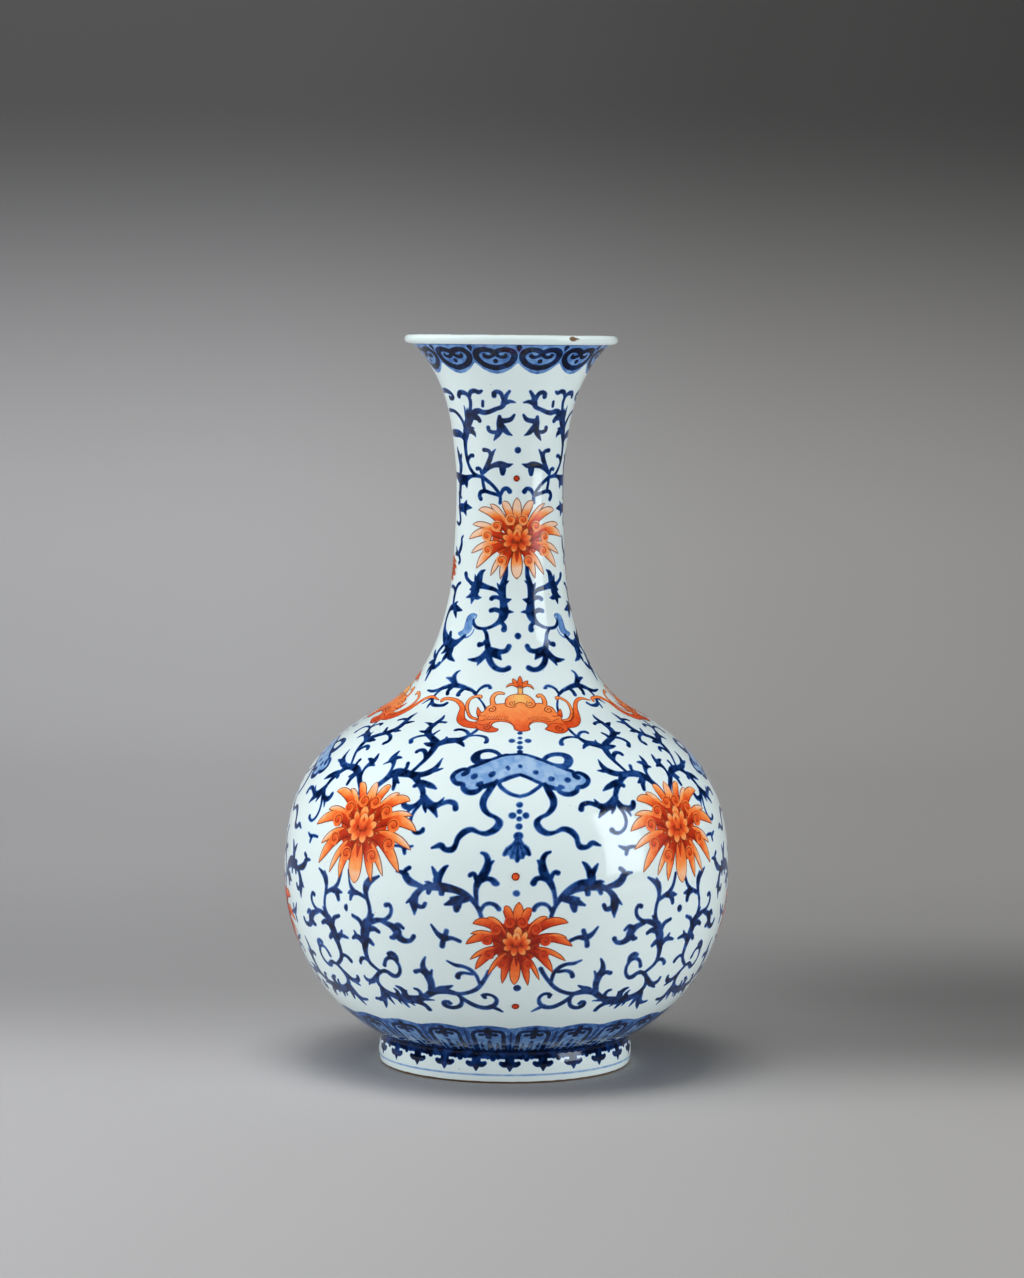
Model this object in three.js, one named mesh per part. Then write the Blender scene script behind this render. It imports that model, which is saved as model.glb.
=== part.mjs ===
// Baluster vase in glazed porcelain: a round belly, a long waisted neck and a trumpet mouth on a low foot ring.
// Millimetres, +Z up, the origin at the centre of the plane that the foot ring stands on.
//
// The vase is thrown and turned in sections: foot ring, lower belly with the floor, upper belly, neck and mouth.
// They are set on each other end to end and luted with slip, the same clay thinned with water. Each seam is a
// flat butt joint: the slip fills it, is trimmed flush outside, and stays as a small bead inside.
import * as THREE from "three";

// Facets
const FACETS_ROUND = 60;
const CURVE_STEPS = 7;
const LIP_STEPS = 6;
const FOOT_STEPS = 4;
const NEAREST_TO_CUT = 0.3;

// Rises: the height of each stretch of the outline, stacked from the ground up
const FOOT_RISE = 16;
const LOWER_BELLY_RISE = 86.7;
const UPPER_BELLY_RISE = 82.9;
const SHOULDER_RISE = 60.2;
const WAIST_RISE = 67.7;
const MOUTH_RISE = 63.1;
const LIP_RISE = 8.4;

// Outside radii
const FOOT_RADIUS = 66.2;
const FOOT_NECK_RADIUS = 64.9;
const BELLY_RADIUS = 116.1;
const SHOULDER_RADIUS = 66.0;
const NECK_RADIUS = 30.9;
const WAIST_RADIUS = 28.3;
const MOUTH_RADIUS = 56.0;

// Walls: thick at the floor, thinner towards the mouth
const FLOOR_THICKNESS = 7.5;
const BELLY_FOOT_WALL = 7.0;
const BELLY_WALL = 5.5;
const SHOULDER_WALL = 5.0;
const NECK_WALL = 4.6;
const WAIST_WALL = 4.4;
const MOUTH_WALL = 3.6;

// Lip: a round roll that stands a little outside the flare below it
const LIP_ROLL_RADIUS = 2.4;
const LIP_OVERHANG = 3.3;

// Foot ring: it stands on a narrow flat between two bevels
const FOOT_WALL = 8.0;
const CONTACT_WIDTH = 3.4;
const OUTER_BEVEL = { width: 1.8, height: 1.6 };
const INNER_BEVEL = { width: 2.2, height: 2.6 };
const FOOT_INNER_TAPER = 1.6;

// Seams
const SLIP_THICKNESS = 0.8;
const SLIP_BEAD = 1.2;
const NECK_SEAM_ABOVE_SHOULDER = 14.4;

const junctionHeight = FOOT_RISE;
const bellyHeight = junctionHeight + LOWER_BELLY_RISE;
const shoulderHeight = bellyHeight + UPPER_BELLY_RISE;
const neckHeight = shoulderHeight + SHOULDER_RISE;
const waistHeight = neckHeight + WAIST_RISE;
const flareHeight = waistHeight + MOUTH_RISE;
const totalHeight = flareHeight + LIP_RISE;

// The outside of the wall runs through these stations. lean is the wall's angle from the horizontal, in degrees.
// before and after say how long the outline keeps that direction, as shares of the chord to the next station.
const stations = [
  { r: FOOT_NECK_RADIUS, z: junctionHeight, lean: 25.4, after: 0.322, wall: BELLY_FOOT_WALL },
  { r: BELLY_RADIUS, z: bellyHeight, lean: 90, before: 0.406, after: 0.428, wall: BELLY_WALL },
  { r: SHOULDER_RADIUS, z: shoulderHeight, lean: 151.3, before: 0.407, after: 0.263, wall: SHOULDER_WALL },
  { r: NECK_RADIUS, z: neckHeight, lean: 100.6, before: 0.483, after: 0.192, wall: NECK_WALL },
  { r: WAIST_RADIUS, z: waistHeight, lean: 83.4, before: 0.18, after: 0.257, wall: WAIST_WALL },
  { r: MOUTH_RADIUS - LIP_OVERHANG, z: flareHeight, lean: 41.3, before: 0.42, wall: MOUTH_WALL },
];

const point = (r, z) => new THREE.Vector2(r, z);
const direction = (degrees) =>
  point(1, 0).rotateAround(point(0, 0), THREE.MathUtils.degToRad(degrees));

// The curve of the outside between two neighbouring stations.
function stretch(low, high) {
  const start = point(low.r, low.z);
  const end = point(high.r, high.z);
  const chord = start.distanceTo(end);
  return new THREE.CubicBezierCurve(
    start,
    start.clone().addScaledVector(direction(low.lean), chord * low.after),
    end.clone().addScaledVector(direction(high.lean), -chord * high.before),
    end,
  );
}

// Both faces of the wall from the junction with the foot up to the lip: the inside is set in square to the
// outside by a thickness that runs evenly from one station's wall to the next.
function wallFaces() {
  const outside = [];
  const inside = [];
  for (let i = 1; i < stations.length; i += 1) {
    const [low, high] = [stations[i - 1], stations[i]];
    const curve = stretch(low, high);
    for (let step = i === 1 ? 0 : 1; step <= CURVE_STEPS; step += 1) {
      const t = step / CURVE_STEPS;
      const at = curve.getPoint(t);
      const along = curve.getTangent(t);
      const wall = THREE.MathUtils.lerp(low.wall, high.wall, t);
      outside.push(at);
      inside.push(point(at.x - along.y * wall, at.y + along.x * wall));
    }
  }
  return { outside, inside };
}

// The point at a given height on a rising face.
function level(face, height) {
  const above = face.find((p, i) => i > 0 && (p.y >= height || i === face.length - 1));
  const below = face[face.indexOf(above) - 1];
  return below.clone().lerp(above, (height - below.y) / (above.y - below.y));
}

// The part of a rising face between two heights, cut level at both ends.
function between(face, low, high) {
  const within = face.filter((p) => p.y > low + NEAREST_TO_CUT && p.y < high - NEAREST_TO_CUT);
  return [level(face, low), ...within, level(face, high)];
}

// A body of revolution about +Z from a closed profile that runs up the outside and down the inside.
function revolve(profile) {
  const onAxis = profile[0].x === 0 && profile.at(-1).x === 0;
  const closed = onAxis ? profile : [...profile, profile[0]];
  return new THREE.LatheGeometry(closed, FACETS_ROUND).rotateX(Math.PI / 2);
}

const { outside, inside } = wallFaces();
const bellySeam = bellyHeight;
const neckSeam = shoulderHeight + NECK_SEAM_ABOVE_SHOULDER;
const mouthSeam = waistHeight;
const halfSlip = SLIP_THICKNESS / 2;

// A section of the wall between two seams, less the slip at each.
function wallSection(lowSeam, highSeam) {
  const low = lowSeam + halfSlip;
  const high = highSeam - halfSlip;
  return revolve([...between(outside, low, high), ...between(inside, low, high).reverse()]);
}

// The slip in a seam: as wide as the wall on both sides of it, with its bead standing into the hollow.
function slipRing(seam) {
  const [low, high] = [seam - halfSlip, seam + halfSlip];
  const innerLow = level(inside, low);
  const innerHigh = level(inside, high);
  const bead = point(Math.min(innerLow.x, innerHigh.x) - SLIP_BEAD, seam);
  return revolve([level(outside, low), level(outside, high), innerHigh, bead, innerLow]);
}

// Foot ring: a slightly swelling outer wall, a narrow flat to stand on and a tapered inner wall.
function footRing() {
  const top = junctionHeight - SLIP_THICKNESS;
  const bevelTop = OUTER_BEVEL.height;
  const edge = FOOT_RADIUS - (FOOT_RADIUS - FOOT_NECK_RADIUS) / 2;
  const swell = new THREE.QuadraticBezierCurve(
    point(edge, bevelTop),
    point(2 * FOOT_RADIUS - (edge + FOOT_NECK_RADIUS) / 2, (bevelTop + top) / 2),
    point(FOOT_NECK_RADIUS, top),
  );
  const contactOuter = edge - OUTER_BEVEL.width;
  const contactInner = contactOuter - CONTACT_WIDTH;
  const innerTop = FOOT_NECK_RADIUS - FOOT_WALL;
  return revolve([
    point(contactOuter, 0),
    ...swell.getPoints(FOOT_STEPS),
    point(innerTop, top),
    point(Math.min(innerTop + FOOT_INNER_TAPER, contactInner - INNER_BEVEL.width), INNER_BEVEL.height),
    point(contactInner, 0),
  ]);
}

// Slip under the floor: it joins the foot ring to the belly, and its bead stands inside the ring.
function footSlip() {
  const inner = FOOT_NECK_RADIUS - FOOT_WALL;
  return revolve([
    point(FOOT_NECK_RADIUS, junctionHeight - SLIP_THICKNESS),
    point(FOOT_NECK_RADIUS, junctionHeight),
    point(inner, junctionHeight),
    point(inner - SLIP_BEAD, junctionHeight - halfSlip),
    point(inner, junctionHeight - SLIP_THICKNESS),
  ]);
}

// Lower belly: a bowl with a flat floor, which closes the foot ring from above.
function lowerBelly() {
  const rim = bellySeam - halfSlip;
  const floor = junctionHeight + FLOOR_THICKNESS;
  return revolve([
    point(0, junctionHeight),
    ...between(outside, junctionHeight, rim),
    ...between(inside, floor, rim).reverse(),
    point(0, floor),
  ]);
}

// Mouth: the flare of the trumpet, ending in the rolled lip.
function mouth() {
  const foot = mouthSeam + halfSlip;
  const centre = point(MOUTH_RADIUS - LIP_ROLL_RADIUS, totalHeight - LIP_ROLL_RADIUS);
  const firstAngle = -90;
  const lastAngle = 180;
  const roll = [];
  for (let step = 0; step <= LIP_STEPS; step += 1) {
    const angle = THREE.MathUtils.lerp(firstAngle, lastAngle, step / LIP_STEPS);
    roll.push(centre.clone().addScaledVector(direction(angle), LIP_ROLL_RADIUS));
  }
  const lowestRoll = roll.at(-1).y;
  return revolve([
    ...between(outside, foot, flareHeight),
    ...roll,
    ...between(inside, foot, lowestRoll).reverse(),
  ]);
}

const biscuit = { color: 0xd9cfc0, roughness: 0.85, metalness: 0 };
const glazed = { color: 0xe4ebec, roughness: 0.12, metalness: 0 };
const slip = { color: 0xcfc6b8, roughness: 0.9, metalness: 0 };

const vase = new THREE.Group();
function add(name, geometry, finish) {
  const mesh = new THREE.Mesh(geometry, new THREE.MeshStandardMaterial(finish));
  mesh.name = name;
  vase.add(mesh);
}

add("foot_ring", footRing(), biscuit);
add("foot_slip_seam", footSlip(), slip);
add("lower_belly", lowerBelly(), glazed);
add("belly_slip_seam", slipRing(bellySeam), slip);
add("upper_belly", wallSection(bellySeam, neckSeam), glazed);
add("neck_slip_seam", slipRing(neckSeam), slip);
add("neck", wallSection(neckSeam, mouthSeam), glazed);
add("mouth_slip_seam", slipRing(mouthSeam), slip);
add("mouth", mouth(), glazed);

export default vase;
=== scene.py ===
import math

import bmesh
import bpy
import numpy as np
from mathutils import Matrix, Vector, geometry


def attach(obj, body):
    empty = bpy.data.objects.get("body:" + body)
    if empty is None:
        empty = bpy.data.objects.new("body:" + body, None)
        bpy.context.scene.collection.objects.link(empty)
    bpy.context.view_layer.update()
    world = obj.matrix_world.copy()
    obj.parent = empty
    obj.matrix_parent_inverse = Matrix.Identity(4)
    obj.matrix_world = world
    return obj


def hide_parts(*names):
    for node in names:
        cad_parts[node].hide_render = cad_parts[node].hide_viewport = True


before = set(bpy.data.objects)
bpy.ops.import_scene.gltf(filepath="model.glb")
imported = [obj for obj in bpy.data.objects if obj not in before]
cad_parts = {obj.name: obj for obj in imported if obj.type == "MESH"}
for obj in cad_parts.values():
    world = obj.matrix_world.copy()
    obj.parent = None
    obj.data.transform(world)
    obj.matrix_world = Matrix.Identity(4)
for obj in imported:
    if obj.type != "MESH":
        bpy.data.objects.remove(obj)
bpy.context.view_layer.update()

# The room: a sheet of pale paper that lies flat under the vase and curves up far behind it, its colour
# painted lighter and darker to stand for light and shade, with broad soft lamps above, at the sides and in
# front, a tall window that shows only as a reflection, and a lamp for the wall. The camera stands two
# metres off, at the height of the mouth.
CAMERA_PLACE = (0.00183, -1.985, 0.380)
CAMERA_DOWN = 4.55
CAMERA_ROLL = 0.52
LENS = 107.6
ROOM_GLOW = 0.03
FLOOR_REACH = 3.0
WALL_BEHIND = 2.5
WALL_HEIGHT = 2.0
WALL_BEND = 1.2
# Painted light and shade on the paper: its colour at the left, painted lighter, and at the right, painted
# darker; then how deep the painted shade is towards the back, how much painted light lifts it a little way
# back, how deep the painted shadow behind the vase on the right is, and how deep the painted shade up the
# wall is.
PAPER_LIT_LEFT = (0.485, 0.485, 0.495)
PAPER_SHADED_RIGHT = (0.395, 0.389, 0.383)
BACK_PAINTED_SHADE = 0.29
BACK_PAINTED_LIGHT = 0.15
PAINTED_SHADOW_DEPTH = 0.48
WALL_PAINTED_SHADE = 0.83


class Value:
    """A number that varies over a surface, with the sums that it takes part in."""

    def __init__(self, finish, socket):
        self.finish = finish
        self.socket = socket

    def sum(self, operation, first, second):
        return self.finish.value("ShaderNodeMath", {"operation": operation}, {0: first, 1: second})

    def __add__(self, other):
        return self.sum("ADD", self, other)

    def __radd__(self, other):
        return self.sum("ADD", other, self)

    def __sub__(self, other):
        return self.sum("SUBTRACT", self, other)

    def __rsub__(self, other):
        return self.sum("SUBTRACT", other, self)

    def __mul__(self, other):
        return self.sum("MULTIPLY", self, other)

    def __rmul__(self, other):
        return self.sum("MULTIPLY", other, self)

    def most(self, other):
        return self.sum("MAXIMUM", self, other)


class Finish:
    """A material with its nodes. Sizes are in metres, on the object's own coordinates."""

    def __init__(self, name, **shader):
        self.material = bpy.data.materials.new(name)
        self.material.use_nodes = True
        self.tree = self.material.node_tree
        self.shader = self.tree.nodes["Principled BSDF"]
        self.set(**shader)
        self.place = self.node("ShaderNodeTexCoord").outputs["Object"]

    def feed(self, socket, given):
        if isinstance(given, Value):
            given = given.socket
        if isinstance(given, bpy.types.NodeSocket):
            self.tree.links.new(given, socket)
        elif socket.type == "RGBA" and len(given) == 3:
            socket.default_value = (*given, 1.0)
        else:
            socket.default_value = given

    def node(self, kind, settings=None, inputs=None):
        made = self.tree.nodes.new(kind)
        for name, setting in (settings or {}).items():
            if name == "stops":
                stops = made.color_ramp.elements
                while len(stops) < len(setting):
                    stops.new(1.0)
                for stop, (position, colour) in zip(stops, setting):
                    stop.position = position
                    stop.color = (*colour, 1.0)
            else:
                setattr(made, name, setting)
        for socket, given in (inputs or {}).items():
            self.feed(made.inputs[socket], given)
        return made

    def value(self, kind, settings=None, inputs=None, output=0):
        return Value(self, self.node(kind, settings, inputs).outputs[output])

    def set(self, **sockets):
        for name, given in sockets.items():
            self.feed(self.shader.inputs[name.replace("_", " ")], given)

    def noise(self, size, detail=2.0):
        sockets = {"Vector": self.place, "Scale": 1.0 / size, "Detail": detail}
        return self.value("ShaderNodeTexNoise", {}, sockets)

    def height(self):
        return self.value("ShaderNodeSeparateXYZ", {}, {"Vector": self.place}, "Z")

    def attribute(self, name):
        return self.value("ShaderNodeAttribute", {"attribute_name": name}, {}, "Fac")

    def within(self, value, low, high):
        sockets = {"Value": value, "From Min": low, "From Max": high}
        return self.value("ShaderNodeMapRange", {"interpolation_type": "SMOOTHSTEP"}, sockets)

    def ramp(self, factor, stops):
        return self.node("ShaderNodeValToRGB", {"stops": stops}, {"Fac": factor}).outputs["Color"]

    def mix(self, factor, first, second):
        sockets = {0: factor, 6: first, 7: second}
        return self.node("ShaderNodeMix", {"data_type": "RGBA"}, sockets).outputs[2]

    def bump(self, height, depth):
        sockets = {"Height": height, "Distance": depth}
        self.set(Normal=self.node("ShaderNodeBump", {}, sockets).outputs["Normal"])


def piece_from(bm, name, material):
    """The finished mesh as an object at the origin."""
    mesh = bpy.data.meshes.new(name)
    bm.to_mesh(mesh)
    bm.free()
    mesh.materials.append(material)
    made = bpy.data.objects.new(name, mesh)
    bpy.context.scene.collection.objects.link(made)
    return made


camera = bpy.data.objects.new("camera", bpy.data.cameras.new("camera"))
camera.data.lens = LENS
camera.matrix_world = (
    Matrix.Translation(CAMERA_PLACE)
    @ Matrix.Rotation(math.radians(90 - CAMERA_DOWN), 4, "X")
    @ Matrix.Rotation(math.radians(CAMERA_ROLL), 4, "Z")
)
bpy.context.scene.collection.objects.link(camera)
bpy.context.scene.camera = camera
bpy.context.scene.view_settings.view_transform = "Standard"

floor_mesh = bmesh.new()
bmesh.ops.create_grid(floor_mesh, x_segments=1, y_segments=1, size=FLOOR_REACH)
back_edge = max(floor_mesh.edges, key=lambda edge: sum(vertex.co.y for vertex in edge.verts))
for vertex in back_edge.verts:
    vertex.co.y = WALL_BEHIND
raised = bmesh.ops.extrude_edge_only(floor_mesh, edges=[back_edge])["geom"]
bmesh.ops.translate(
    floor_mesh,
    verts=[part for part in raised if isinstance(part, bmesh.types.BMVert)],
    vec=(0, 0, WALL_HEIGHT),
)
bmesh.ops.bevel(
    floor_mesh,
    geom=[back_edge],
    offset=WALL_BEND,
    offset_type="OFFSET",
    affect="EDGES",
    segments=24,
    profile=0.5,
    material=-1,
)
for face in floor_mesh.faces:
    face.smooth = True
paper = Finish("studio_paper", Roughness=0.85)
paper_x = paper.value("ShaderNodeSeparateXYZ", {}, {"Vector": paper.place}, "X")
paper_y = paper.value("ShaderNodeSeparateXYZ", {}, {"Vector": paper.place}, "Y")
# Painted light and shade: the paper's colour goes from lighter at the left to darker at the right.
paper_lit_to_shaded = paper.mix(paper.within(paper_x, -0.3, 0.3), PAPER_LIT_LEFT, PAPER_SHADED_RIGHT)
# Painted shade on the paper: it is painted darker towards the back and up the wall, a little lighter for a
# stretch between, and a painted shadow of the vase lies behind it on the right.
back = 1 - BACK_PAINTED_SHADE * (paper.within(paper_y, -0.05, 0.25) + paper.within(paper_y, 0.8, 2.4))
back = back + BACK_PAINTED_LIGHT * paper.within(paper_y, 0.3, 0.8)
shadow_behind_right = paper.within(paper_x, -0.05, 0.30) * paper.within(paper_y, -0.13, 0.07)
painted_shadow = 1 - PAINTED_SHADOW_DEPTH * shadow_behind_right * (1 - paper.within(paper_y, 0.18, 0.50))
top = 1 - WALL_PAINTED_SHADE * paper.within(paper.height(), 0.14, 0.66)
paper.set(Base_Color=paper.mix(back * painted_shadow * top, (0, 0, 0), paper_lit_to_shaded))
floor = piece_from(floor_mesh, "studio_floor", paper.material)


def soft_light(name, place, aim, width, height, watts, colour=(1, 1, 1), only_mirrored=False):
    """A rectangular lamp turned towards aim. One that is only_mirrored gives no light but its
    reflection."""
    lamp = bpy.data.lights.new(name, "AREA")
    lamp.shape = "RECTANGLE"
    lamp.size = width
    lamp.size_y = height
    lamp.energy = watts
    lamp.color = colour
    made = bpy.data.objects.new(name, lamp)
    made.location = place
    made.rotation_euler = (Vector(aim) - Vector(place)).to_track_quat("-Z", "Y").to_euler()
    made.visible_glossy = only_mirrored
    made.visible_diffuse = not only_mirrored
    bpy.context.scene.collection.objects.link(made)


AT_VASE = (0, 0, 0.2)
soft_light("ceiling_left", (-0.7, -0.3, 1.7), AT_VASE, width=1.2, height=1.2, watts=12)
soft_light("ceiling", (-0.05, -0.2, 1.8), AT_VASE, width=0.7, height=0.7, watts=14)
soft_light("low_left", (-1.3, -0.9, 0.22), AT_VASE, width=1.2, height=0.38, watts=10)
soft_light("side_left", (-1.5, -0.1, 0.3), AT_VASE, width=1.0, height=0.5, watts=8)
soft_light("low_right", (1.3, -0.6, 0.25), AT_VASE, width=1.2, height=0.45, watts=16)
soft_light(
    "window_right", (1.3, -0.70, 0.55), AT_VASE, width=0.6, height=0.95, watts=13, colour=(0.82, 0.91, 1.0),
    only_mirrored=True,
)
soft_light("low_front", (-0.5, -1.4, 0.10), (0, 0, 0.0), width=0.9, height=0.16, watts=1.6)
soft_light("back_wash", (-0.5, 1.7, 1.5), (-0.3, 2.6, 0.5), width=2.6, height=0.7, watts=31)
world = bpy.data.worlds.new("studio")
world.use_nodes = True
world.node_tree.nodes["Background"].inputs["Color"].default_value = (0.80, 0.82, 0.84, 1)
world.node_tree.nodes["Background"].inputs["Strength"].default_value = ROOM_GLOW
bpy.context.scene.world = world

# Foot ring: turned porcelain, luted under the belly. Its outside is painted with pendants that hang from a
# dark line, and glazed. Its underside is wiped bare, and the bare clay has fired brown at the edge.

# The outside of all the thrown sections is one curve, from the foot to the lip. Its stations have a radius,
# a height, a lean in degrees from the horizontal, the thickness of the wall, and how long the curve keeps
# its direction before and after, as a share of the chord.
STATIONS = [
    {"r": 0.0649, "z": 0.0160, "lean": 25.4, "after": 0.322, "wall": 0.0070},
    {"r": 0.1161, "z": 0.1027, "lean": 90, "before": 0.406, "after": 0.428, "wall": 0.0055},
    {"r": 0.0660, "z": 0.1856, "lean": 151.3, "before": 0.407, "after": 0.263, "wall": 0.0050},
    {"r": 0.0309, "z": 0.2458, "lean": 100.6, "before": 0.483, "after": 0.192, "wall": 0.0046},
    {"r": 0.0283, "z": 0.3135, "lean": 83.4, "before": 0.18, "after": 0.257, "wall": 0.0044},
    {"r": 0.0527, "z": 0.3766, "lean": 41.3, "before": 0.42, "wall": 0.0036},
]
FOOT_OUTLINE = [(0.06555, 0.0016), (0.067175, 0.0084), (0.0649, 0.0152)]
LIP_CENTRE = (0.0530, 0.3777)
LIP_ROLL = 0.0024
LIP_START = -55
LIP_END = 150
FRONT = 3.5
SEAM_BELLY = 0.1027
SEAM_FOOT = 0.0160
FOOT_BEVEL = 0.0016
NOT_PAINTED = -999.0


def towards(degrees):
    """A step of one metre that way, on the (r, z) plane."""
    return Vector((math.cos(math.radians(degrees)), math.sin(math.radians(degrees))))


def stretch(low, high, steps):
    """The curve from one station to the next."""
    start = Vector((low["r"], low["z"]))
    end = Vector((high["r"], high["z"]))
    chord = (end - start).length
    first = start + towards(low["lean"]) * chord * low["after"]
    last = end - towards(high["lean"]) * chord * high["before"]
    return geometry.interpolate_bezier(start, first, last, end, steps + 1)


def run(points):
    """The points without those that repeat the one before."""
    kept = [points[0]]
    for point in points[1:]:
        if (point - kept[-1]).length > 1e-7:
            kept.append(point)
    return kept


def wall_outline():
    """The foot's hollow curve, the thrown wall and the roll of the lip, from the bottom up."""
    low, middle, high = (Vector(point) for point in FOOT_OUTLINE)
    outline = []
    for step in range(17):
        t = step / 16
        outline.append(low * (1 - t) ** 2 + middle * 2 * t * (1 - t) + high * t * t)
    for below, above in zip(STATIONS, STATIONS[1:]):
        outline += [point.to_2d() for point in stretch(below, above, 80)]
    lowest = LIP_CENTRE[1] + towards(LIP_START).y * LIP_ROLL
    outline = [point for point in outline if point.y < lowest]
    for step in range(25):
        outline.append(Vector(LIP_CENTRE) + towards(LIP_START + (90 - LIP_START) * step / 24) * LIP_ROLL)
    return run(outline)


class Wall:
    """The outside as a map: degrees round from the front column, and degrees of the same scale up from the
    widest line of the belly, so that what is drawn on the map keeps its shape on the vase."""

    def __init__(self, outline):
        self.r = np.array([point.x for point in outline])
        self.z = np.array([point.y for point in outline])
        lengths = np.hypot(np.diff(self.r), np.diff(self.z))
        self.rise = np.concatenate([[0], np.cumsum(np.degrees(lengths * 2 / (self.r[1:] + self.r[:-1])))])
        self.rise -= np.interp(SEAM_BELLY, self.z, self.rise)
        slope_r = np.gradient(self.r, self.rise)
        slope_z = np.gradient(self.z, self.rise)
        self.lean = np.unwrap(np.arctan2(slope_z, slope_r))

    def rise_at(self, z):
        return float(np.interp(z, self.z, self.rise))

    def radius_at(self, z):
        return float(np.interp(z, self.z, self.r))

    def place(self, turn, rise, lift=0.0):
        """The point on the outside, raised by lift along the normal, and the normal itself."""
        r, z, lean = (float(np.interp(rise, self.rise, values)) for values in (self.r, self.z, self.lean))
        out, up = math.sin(lean), -math.cos(lean)
        angle = math.radians(turn + FRONT)
        r += lift * out
        normal = Vector((math.sin(angle) * out, -math.cos(angle) * out, up))
        return Vector((r * math.sin(angle), -r * math.cos(angle), z + lift * up)), normal

    def scale(self, rise):
        """Metres in one degree of the map."""
        return float(np.interp(rise, self.rise, self.r)) * math.pi / 180


wall = Wall(wall_outline())


# The brush: each stroke is a list of points on the map with the width there, all in degrees. The painter
# followed one design all round, mirrored from column to column, and no two came out quite alike.
def brushed(points, fine):
    """A smooth run of (x, y, width) through the points of a stroke, in steps of about fine degrees."""
    points = [np.array(point, float) for point in points]
    if len(points) == 1:
        return np.array(points)
    ends = [2 * points[0] - points[1], *points, 2 * points[-1] - points[-2]]
    line = []
    for a, b, c, d in zip(ends, ends[1:], ends[2:], ends[3:]):
        steps = max(1, round(float(np.hypot(*(c - b)[:2])) / fine))
        for t in np.arange(steps) / steps:
            bend = 2 * b + (c - a) * t + (2 * a - 5 * b + 4 * c - d) * t**2 + (3 * b - a - 3 * c + d) * t**3
            line.append(bend / 2)
    line.append(points[-1])
    return np.array(line)


def stroke_edge(line, margin, round_steps=7):
    """The outline of a stroke that is wider by margin at each side, with round ends."""
    widths = np.maximum(line[:, 2] / 2 + margin, 0.02)
    if len(line) == 1:
        angles = np.arange(4 * round_steps) * math.pi / (2 * round_steps)
        return line[0, :2] + widths[0] * np.stack([np.cos(angles), np.sin(angles)], 1)
    along = np.gradient(line[:, :2], axis=0)
    along /= np.maximum(np.hypot(along[:, 0], along[:, 1]), 1e-9)[:, None]
    side = np.stack([-along[:, 1], along[:, 0]], 1)
    left = line[:, :2] + side * widths[:, None]
    right = line[:, :2] - side * widths[:, None]
    caps = []
    for end, forward, width in ((line[-1], along[-1], widths[-1]), (line[0], -along[0], widths[0])):
        heading = math.atan2(forward[1], forward[0])
        angles = heading + math.pi / 2 - np.arange(1, round_steps) * math.pi / round_steps
        caps.append(end[:2] + width * np.stack([np.cos(angles), np.sin(angles)], 1))
    return np.concatenate([left, caps[0], right[::-1], caps[1]])


def depth_inside_stroke(points, line):
    """How far inside a stroke's edge each point lies, in degrees; less than 0 outside."""
    if len(line) == 1:
        return line[0, 2] / 2 - np.hypot(points[:, 0] - line[0, 0], points[:, 1] - line[0, 1])
    start, end = line[:-1], line[1:]
    span = end[:, :2] - start[:, :2]
    length = np.maximum((span**2).sum(1), 1e-12)
    offset = points[:, None, :] - start[None, :, :2]
    t = np.clip((offset * span).sum(2) / length, 0, 1)
    away = np.hypot(*np.moveaxis(offset - t[..., None] * span, 2, 0))
    half = (start[:, 2] + (end[:, 2] - start[:, 2]) * t) / 2
    nearest = away.argmin(1)[:, None]
    return np.take_along_axis(half - away, nearest, 1)[:, 0]


def depth_inside_shape(points, outline):
    """How far inside a closed outline each point lies, in degrees; less than 0 outside."""
    start, end = outline, np.roll(outline, -1, axis=0)
    span = end - start
    offset = points[:, None, :] - start[None]
    t = np.clip((offset * span).sum(2) / np.maximum((span**2).sum(1), 1e-12), 0, 1)
    away = np.hypot(*np.moveaxis(offset - t[..., None] * span, 2, 0)).min(1)
    crosses = (start[:, 1] > points[:, None, 1]) != (end[:, 1] > points[:, None, 1])
    climb = np.where(span[:, 1] == 0, 1e-12, span[:, 1])
    at = start[:, 0] + (points[:, None, 1] - start[:, 1]) * span[:, 0] / climb
    inside = (crosses & (points[:, None, 0] < at)).sum(1) % 2 == 1
    return np.where(inside, away, -away)


def moved_edge(outline, margin):
    """A closed outline moved outwards by margin."""
    after = np.roll(outline, -1, axis=0)
    along = after - np.roll(outline, 1, axis=0)
    along /= np.maximum(np.hypot(along[:, 0], along[:, 1]), 1e-9)[:, None]
    area = np.sum(outline[:, 0] * after[:, 1] - after[:, 0] * outline[:, 1])
    return outline + np.stack([along[:, 1], -along[:, 0]], 1) * margin * np.sign(area)


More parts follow.
